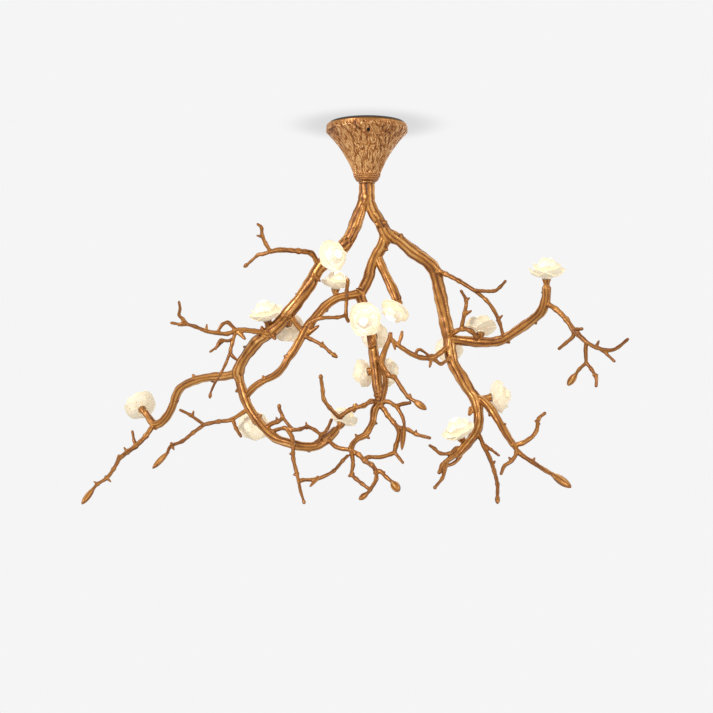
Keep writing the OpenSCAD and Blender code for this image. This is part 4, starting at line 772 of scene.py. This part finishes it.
def part_casting(tree_mesh, vertex_owner, owner, casting):
    """One casting out of the fused tree, closed where it meets the others"""
    bm = bmesh.new()
    bm.from_mesh(tree_mesh)
    bm.verts.ensure_lookup_table()
    away = [f for f in bm.faces if vertex_owner[f.verts[0].index] != owner]
    bmesh.ops.delete(bm, geom=away, context="FACES")
    rims = [e for e in bm.edges if e.is_boundary]
    for e in rims:
        e.smooth = False
    bmesh.ops.holes_fill(bm, edges=rims, sides=0)
    lids = [f for f in bm.faces if len(f.verts) > 4]
    bmesh.ops.triangulate(bm, faces=lids)
    mesh = built_mesh(bm, casting)
    shade_smooth(mesh)
    mesh.materials.append(BARK)
    return link(f"{casting}_cast", mesh)


strands = all_strands()
tree_mesh = fused_tree(strands)
vertex_owner = bark(tree_mesh, strands)
for owner, casting in enumerate(CASTINGS):
    cast = part_casting(tree_mesh, vertex_owner, owner, casting)
    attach(cast, "tree")
    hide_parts(casting)
bpy.data.meshes.remove(tree_mesh)


# ---- The canopy: a cast trumpet with swirling ridges and three screw holes ----
CANOPY_R, CANOPY_H, CANOPY_WALL, RIM_H = 74, 104, 3, 13
NECK_R, LIP_R, MOUTH_R, LIP_H = 21, 15.5, 12, 6
RIM_PULL, NECK_PULL = (-24, -23), (9.3, 29.7)
SCREW_TURN, SCREW_DROP, SCREW_HOLE_R = -88, 22, 2.8
CANOPY_SEGMENTS = 440
LIP_SWELL, LIP_SWELL_Z = 1.7, -94


def bezier(a, b, c, d, t):
    a, b, c, d = (np.array(p, float) for p in (a, b, c, d))
    return (1 - t) ** 3 * a + 3 * (1 - t) ** 2 * t * b + 3 * (1 - t) * t * t * c + t**3 * d


def flare(inset, steps):
    """[radius, height] from the rim to the neck, an inset inside the outer wall"""
    rim, neck = (CANOPY_R - inset, -RIM_H), (NECK_R - inset, LIP_H - CANOPY_H)
    rim_pull = (rim[0] + RIM_PULL[0], rim[1] + RIM_PULL[1])
    neck_pull = (neck[0] + NECK_PULL[0], neck[1] + NECK_PULL[1])
    return [bezier(rim, rim_pull, neck_pull, neck, i / steps) for i in range(steps + 1)]


OUTER = [(CANOPY_R, 0), *flare(0, 40), (LIP_R + 4.6, -101), (LIP_R + 0.8, -103.8), (LIP_R - 1, -104)]
OUTER_Z = [-p[1] for p in OUTER]
OUTER_R = [p[0] for p in OUTER]


def wall_radius(z):
    """The canopy's outer radius at a height"""
    return float(np.interp(-z, OUTER_Z, OUTER_R))


def canopy_profile():
    """[radius, height] round the wall: down its outside, over the lip and up its inside"""
    rim = [(CANOPY_R - 2.2, 0), (CANOPY_R - 1.1, -0.4), (CANOPY_R - 0.4, -1.2), (CANOPY_R - 0.1, -2.1)]
    rim += [(CANOPY_R, -2.8 - (RIM_H - 2.8) * i / 12) for i in range(12)]
    lip = [(LIP_R + 5.2, -99.4), (LIP_R + 4.6, -101), (LIP_R + 3.0, -102.6), (LIP_R + 0.8, -103.8)]
    mouth = [(LIP_R - 1, -104), (MOUTH_R, -104), (MOUTH_R, -101)]
    top = [(CANOPY_R - CANOPY_WALL, -6), (CANOPY_R - CANOPY_WALL, 0)]
    return rim + flare(0, 96) + lip + mouth + flare(CANOPY_WALL, 14)[::-1] + top


def on_ring(turn, reach, z):
    return Vector((math.cos(turn) * reach, math.sin(turn) * reach, z))


def share(value):
    return min(1.0, max(0.0, value))


def cast_folds(turn, z):
    """The swirling folds' relief, from 0 in a crease to 1 on a ridge"""
    lean = turn + 0.004 * z + 0.25 * noise.noise(on_ring(turn, 1.6, z * 0.02))
    at = on_ring(lean, 10.5, z * 0.055)
    warp = noise.noise(on_ring(turn, 2.2, z * 0.035 + 7))
    fold = noise.noise(at + Vector((warp * 2.2, -warp * 2.2, 2.6 * warp)))
    fine = noise.noise(Vector((at.x * 1.9, at.y * 1.9 + warp * 3, at.z * 2.2 + warp * 4)))
    return min(1.0, abs(fold) * 4.5) ** 0.6 * 0.62 + min(1.0, abs(fine) * 4) ** 0.6 * 0.38


def shape_canopy(bm):
    """Folds over the flare, calm near the rim, and rings round the lip"""
    relief_layer = bm.verts.layers.float.new("relief")
    grain_layer = bm.verts.layers.float_vector.new("grain")
    plain_layer = bm.verts.layers.float.new("plain")
    for v in bm.verts:
        r, z, turn = math.hypot(v.co.x, v.co.y) * 1000, v.co.z * 1000, math.atan2(v.co.y, v.co.x)
        outside = r > wall_radius(z) - 1.3 and z < -0.3
        relief = cast_folds(turn, z)
        ring = 0.5 + 0.5 * math.cos((z + CANOPY_H) * 1.9)
        lip = share((-z - CANOPY_H + 16) / 6)
        relief = relief + (0.45 + 0.5 * ring - relief) * lip * 0.75
        band = share((-z - 3) / 7)
        relief = 0.68 + (relief - 0.68) * band
        # On the outside this relief also sets the colour: dark in the creases, patina with painted shade,
        # and pale on the ridges, worn gilt with painted highlight
        v[relief_layer] = relief if outside else 0.35
        v[plain_layer] = 0.8 * (1 - band)
        v[grain_layer] = on_ring(turn, 40, z)
        if outside:
            calm = band * min(1.0, (CANOPY_H + z) / 7 + 0.15)
            swell = LIP_SWELL * MM * math.exp(-(((z - LIP_SWELL_Z) / 5) ** 2))
            v.co += on_ring(turn, 1, 0) * ((relief - 0.75) * 0.0022 * calm + swell)


def drill_hole(piece, turn):
    """A screw hole through the canopy's wall"""
    drill = bmesh.new()
    hole_r = SCREW_HOLE_R * MM
    bmesh.ops.create_cone(drill, cap_ends=True, segments=32, radius1=hole_r, radius2=hole_r, depth=0.02)
    spin = Matrix.Rotation(math.radians(turn), 4, "Z")
    shift = Matrix.Translation(((CANOPY_R - 8) * MM, 0, -SCREW_DROP * MM))
    lay = Matrix.Rotation(math.pi / 2, 4, "Y")
    bmesh.ops.transform(drill, matrix=spin @ shift @ lay, verts=drill.verts)
    cutter = link("drill", built_mesh(drill, "drill"))
    hole = piece.modifiers.new("screw_hole", "BOOLEAN")
    hole.object = cutter
    hole.operation = "DIFFERENCE"
    hole.solver = "EXACT"
    piece.data = applied_mesh(piece)
    piece.modifiers.clear()
    bpy.data.objects.remove(cutter)


def canopy_piece():
    bm = bmesh.new()
    verts = [bm.verts.new((r * MM, 0, z * MM)) for r, z in canopy_profile()]
    edges = [bm.edges.new(pair) for pair in zip(verts, verts[1:] + verts[:1])]
    bmesh.ops.spin(
        bm, geom=verts + edges, cent=(0, 0, 0), axis=(0, 0, 1), angle=2 * math.pi, steps=CANOPY_SEGMENTS,
        use_merge=True,
    )
    bmesh.ops.remove_doubles(bm, verts=bm.verts, dist=1e-6)
    bmesh.ops.recalc_face_normals(bm, faces=bm.faces)
    shape_canopy(bm)
    piece = link("canopy_uncut", built_mesh(bm, "canopy"))
    for i in range(3):
        drill_hole(piece, SCREW_TURN + 120 * i)
    mesh = finished_mesh(piece)
    shade_smooth(mesh)
    mesh.materials.clear()
    mesh.materials.append(TRUMPET)
    return link("canopy_cast", mesh)


canopy = canopy_piece()
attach(canopy, "ceiling_fixing")
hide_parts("canopy")


# ---- The flowers: three rows of petals, the outer two open and the inner one a dome over the lamp ----
SEAT, FOOT_R, PETALS = 2, 8, 5
FLOWER_R, OUTER_H, OUTER_ARC = 31.5, 18, 76
MIDDLE_R, MIDDLE_H, MIDDLE_ARC = 24.5, 25, 58
DOME_R, DOME_H, DOME_ARC = 18.5, 34, 170
# In a dome taller than this the lamp ends well below the mouth, which may close further
TALL_DOME = 30
PETAL_STEPS, HALF_STEPS = 9, 4
PETAL_WALL = 0.0011
FULL_TURN = 6.28


def petal(bm, attr, shape, length, width, turn, ruffle, finish, seed):
    """One petal over a grid: shape gives [radius, height] at a share of its length"""
    rng = random.Random(seed)
    phase = [rng.uniform(0, FULL_TURN) for _ in range(4)]
    curl = rng.uniform(0.6, 1.3)
    grid = bmesh.ops.create_grid(bm, x_segments=PETAL_STEPS, y_segments=2 * HALF_STEPS, size=1)["verts"]
    for v in grid:
        u, w = (v.co.x + 1) / 2, v.co.y
        ragged = 0.03 * math.sin(5 * w + phase[3]) + 0.01 * math.sin(12 * w + phase[1])
        reach = u * (1 - 0.13 * w * w + ragged * u * u)
        r, h = shape(reach * length)
        half = width * math.sin(math.pi * min(1.0, 0.16 + 0.66 * u)) ** 0.7
        sway = 0.7 * math.sin(3.4 * w + phase[0] + 2.2 * u) + 0.3 * math.sin(7.1 * w + phase[1])
        wave = ruffle * u * u * sway
        angle = turn + w * half / max(r, 7.5)
        r = r * (1 + 0.03 * math.sin(3 * u + phase[2])) + wave * 0.7 + curl * abs(w) ** 2.4 * 1.3
        h = h + wave - abs(w) ** 2 * 1.1 * u * curl
        v.co = Vector((r * math.cos(angle), r * math.sin(angle), SEAT + h)) * MM
        # The petal attribute rises towards the rim and the petal's sides, where the finish paints a darker
        # cream of shade that marks out each petal
        v[attr] = min(1.0, 0.15 + 0.85 * max(u, abs(w) ** 2.5))
    for face in {face for v in grid for face in v.link_faces}:
        face.material_index = finish


def flower_piece(number, f):
    size = f[5]
    rng = random.Random(100 + number)
    bm = bmesh.new()
    attr = bm.verts.layers.float.new("petal")

    def outer(u):
        a, whole = math.radians(OUTER_ARC * u), math.radians(OUTER_ARC)
        r = FOOT_R + (FLOWER_R - FOOT_R) * size * math.sin(a) / math.sin(whole)
        return r, 1 + (OUTER_H * 0.95) * size * (1 - math.cos(a)) / (1 - math.cos(whole))

    def middle(u):
        a, whole = math.radians(MIDDLE_ARC * u), math.radians(MIDDLE_ARC)
        r = FOOT_R + (MIDDLE_R - FOOT_R) * size * math.sin(a) / math.sin(whole)
        return r, 1.5 + MIDDLE_H * size * u**1.25

    def dome(u):
        closing = 3 if DOME_H * size > TALL_DOME else 1
        r = 7 - closing * u**2 + (DOME_R - 7.5) * size * math.sin(math.radians(DOME_ARC * u)) ** 0.8
        return r, 1 + DOME_H * size * u**1.02

    # [shape, half width, ruffle, inner finish]
    whorls = [(outer, 26, 1.7, 0), (middle, 19, 1.3, 0), (dome, 16, 0.7, 1)]
    start = rng.uniform(0, FULL_TURN)
    for k, (shape, width, ruffle, finish) in enumerate(whorls):
        for i in range(PETALS):
            turn = start + 0.6 * k + (i + rng.uniform(-0.16, 0.16)) * 2 * math.pi / PETALS
            length = 1 if shape is dome else rng.uniform(0.84, 1.03)
            seed = 1000 * number + 50 * k + i
            petal(bm, attr, shape, length, width * size, turn, ruffle * size, finish, seed)
    bmesh.ops.transform(bm, matrix=flower_frame(f), verts=bm.verts)
    mesh = built_mesh(bm, f"flower_{number:02d}")
    shade_smooth(mesh)
    # Inside faces take the pale painted glow, outside faces the darker painted shade, and the dome's
    # outside its stronger painted glow
    for finish in (PETAL_IN, PETAL_IN, PETAL_OUT, DOME_OUT):
        mesh.materials.append(finish)
    piece = link(f"flower_{number:02d}_petals", mesh)
    wall = piece.modifiers.new("wall", "SOLIDIFY")
    wall.thickness = PETAL_WALL
    wall.offset = 0
    wall.material_offset = 2
    wall.material_offset_rim = 0
    soft = piece.modifiers.new("soft", "SUBSURF")
    soft.levels = 1
    soft.render_levels = 1
    return piece


for number, f in enumerate(FLOWERS, 1):
    flower = flower_piece(number, f)
    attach(flower, "tree")
    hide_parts(f"flower_{number:02d}")


# ---- Stage, light and camera ----
PAPER = (0.913, 0.913, 0.913, 1)
FLOOR_SIZE, FLOOR_Z = 8, -2.4
SHADE_INNER, SHADE_OUTER, SHADE_DEPTH = 0.0714, 0.175, 0.42
CONTACT_BACK, CONTACT_R, CONTACT_DEPTH = 0.016, 0.0725, 0.93
PHOTO_WIDTH, FOCAL_PIXELS, RISE_PIXELS, SENSOR = 713, 1370, 59.5, 36
TREE_MIDDLE = (0, 0, -0.35)
WARM_WHITE = (1, 0.98, 0.95)


def emptied(owner):
    """The node tree of a world or a material, with nothing in it"""
    owner.use_nodes = True
    owner.node_tree.nodes.clear()
    return owner.node_tree


def by_ray(graph, seen, unseen):
    """seen for camera, glossy and transmission rays, and unseen for the rest"""
    path = add(graph, "ShaderNodeLightPath").outputs
    either = maths(graph, "MAXIMUM", path["Is Camera Ray"], path["Is Glossy Ray"])
    rays = maths(graph, "MAXIMUM", either, path["Is Transmission Ray"])
    return add(graph, "ShaderNodeMixShader", {"Fac": rays, 1: unseen, 2: seen}).outputs[0]


def studio_world():
    world = bpy.data.worlds.new("studio")
    bpy.context.scene.world = world
    graph = emptied(world)
    paper = add(graph, "ShaderNodeBackground", {"Color": PAPER}).outputs[0]
    air = add(graph, "ShaderNodeBackground", {"Color": (1, 0.985, 0.96, 1), "Strength": 0.38}).outputs[0]
    add(graph, "ShaderNodeOutputWorld", {"Surface": by_ray(graph, paper, air)})


def floor():
    bm = bmesh.new()
    bmesh.ops.create_grid(bm, x_segments=1, y_segments=1, size=FLOOR_SIZE)
    bmesh.ops.translate(bm, verts=bm.verts, vec=(0, 0, FLOOR_Z))
    mesh = built_mesh(bm, "floor")
    mat = bpy.data.materials.new("floor_paper")
    graph = emptied(mat)
    paper = add(graph, "ShaderNodeEmission", {"Color": PAPER}).outputs[0]
    board = add(graph, "ShaderNodeBsdfDiffuse", {"Color": (0.8, 0.8, 0.8, 1)}).outputs[0]
    add(graph, "ShaderNodeOutputMaterial", {"Surface": by_ray(graph, paper, board)})
    mesh.materials.append(mat)
    link("floor", mesh)


def soft_fade(graph, point, start, end, full):
    """full as far as start from the middle, falling softly to none at end"""
    away = add(graph, "ShaderNodeVectorMath", {0: point}, operation="LENGTH").outputs["Value"]
    steps = {"Value": away, "From Min": start, "From Max": end, "To Min": full, "To Max": 0}
    return add(graph, "ShaderNodeMapRange", steps, interpolation_type="SMOOTHERSTEP").outputs["Result"]


def ceiling_shade():
    """The soft shadow that the canopy throws on the ceiling round its rim"""
    bm = bmesh.new()
    bmesh.ops.create_circle(bm, segments=96, radius=SHADE_INNER)
    ring = bmesh.ops.extrude_edge_only(bm, edges=list(bm.edges))["geom"]
    verts = [g for g in ring if isinstance(g, bmesh.types.BMVert)]
    bmesh.ops.scale(bm, vec=(SHADE_OUTER / SHADE_INNER,) * 3, verts=verts)
    bmesh.ops.translate(bm, verts=bm.verts, vec=(0, 0, -0.0003))
    mesh = built_mesh(bm, "ceiling_shade")
    mat = bpy.data.materials.new("ceiling_shadow")
    graph = emptied(mat)
    where = on_piece(graph)
    fade = soft_fade(graph, where, SHADE_INNER - 0.007, SHADE_OUTER, SHADE_DEPTH)
    shift = add(graph, "ShaderNodeVectorMath", {0: where, 1: (0, CONTACT_BACK, 0)}).outputs[0]
    touch = soft_fade(graph, shift, 0.065, CONTACT_R, CONTACT_DEPTH)
    depth = maths(graph, "MAXIMUM", fade, touch)
    tone = ramp(graph, depth, [(0.42, grey(0.42)), (0.7, (0.02, 0.018, 0.015))])
    dark = add(graph, "ShaderNodeEmission", {"Color": tone}).outputs[0]
    clear = add(graph, "ShaderNodeBsdfTransparent").outputs[0]
    mix = add(graph, "ShaderNodeMixShader", {"Fac": depth, 1: clear, 2: dark}).outputs[0]
    add(graph, "ShaderNodeOutputMaterial", {"Surface": mix})
    mesh.materials.append(mat)
    shade = link("ceiling_shade", mesh)


def soft_light(name, place_at, size, power):
    light = bpy.data.lights.new(name, "AREA")
    light.size = size
    light.energy = power
    light.color = WARM_WHITE
    obj = link(name, light)
    obj.location = place_at
    obj.rotation_euler = (Vector(TREE_MIDDLE) - Vector(place_at)).to_track_quat("-Z", "Y").to_euler()


def photo_camera():
    camera = bpy.data.cameras.new("camera")
    camera.sensor_width = SENSOR
    camera.lens = SENSOR * FOCAL_PIXELS / PHOTO_WIDTH
    camera.shift_y = RISE_PIXELS / PHOTO_WIDTH
    camera.clip_start = 0.05
    camera.clip_end = 60
    obj = link("camera", camera)
    obj.location = (-0.019, -VIEW_DISTANCE * MM, EYE_Z * MM)
    obj.rotation_euler = (math.pi / 2, 0, 0)
    bpy.context.scene.camera = obj


studio_world()
floor()
ceiling_shade()
soft_light("key", (-1.5, -1.7, 0.5), 0.6, 36)
soft_light("fill", (1.7, -1.3, -0.1), 0.8, 13)
soft_light("back", (0.4, 1.9, 0.3), 1.2, 8)
photo_camera()
bpy.context.scene.view_settings.view_transform = "Standard"

bpy.context.view_layer.update()
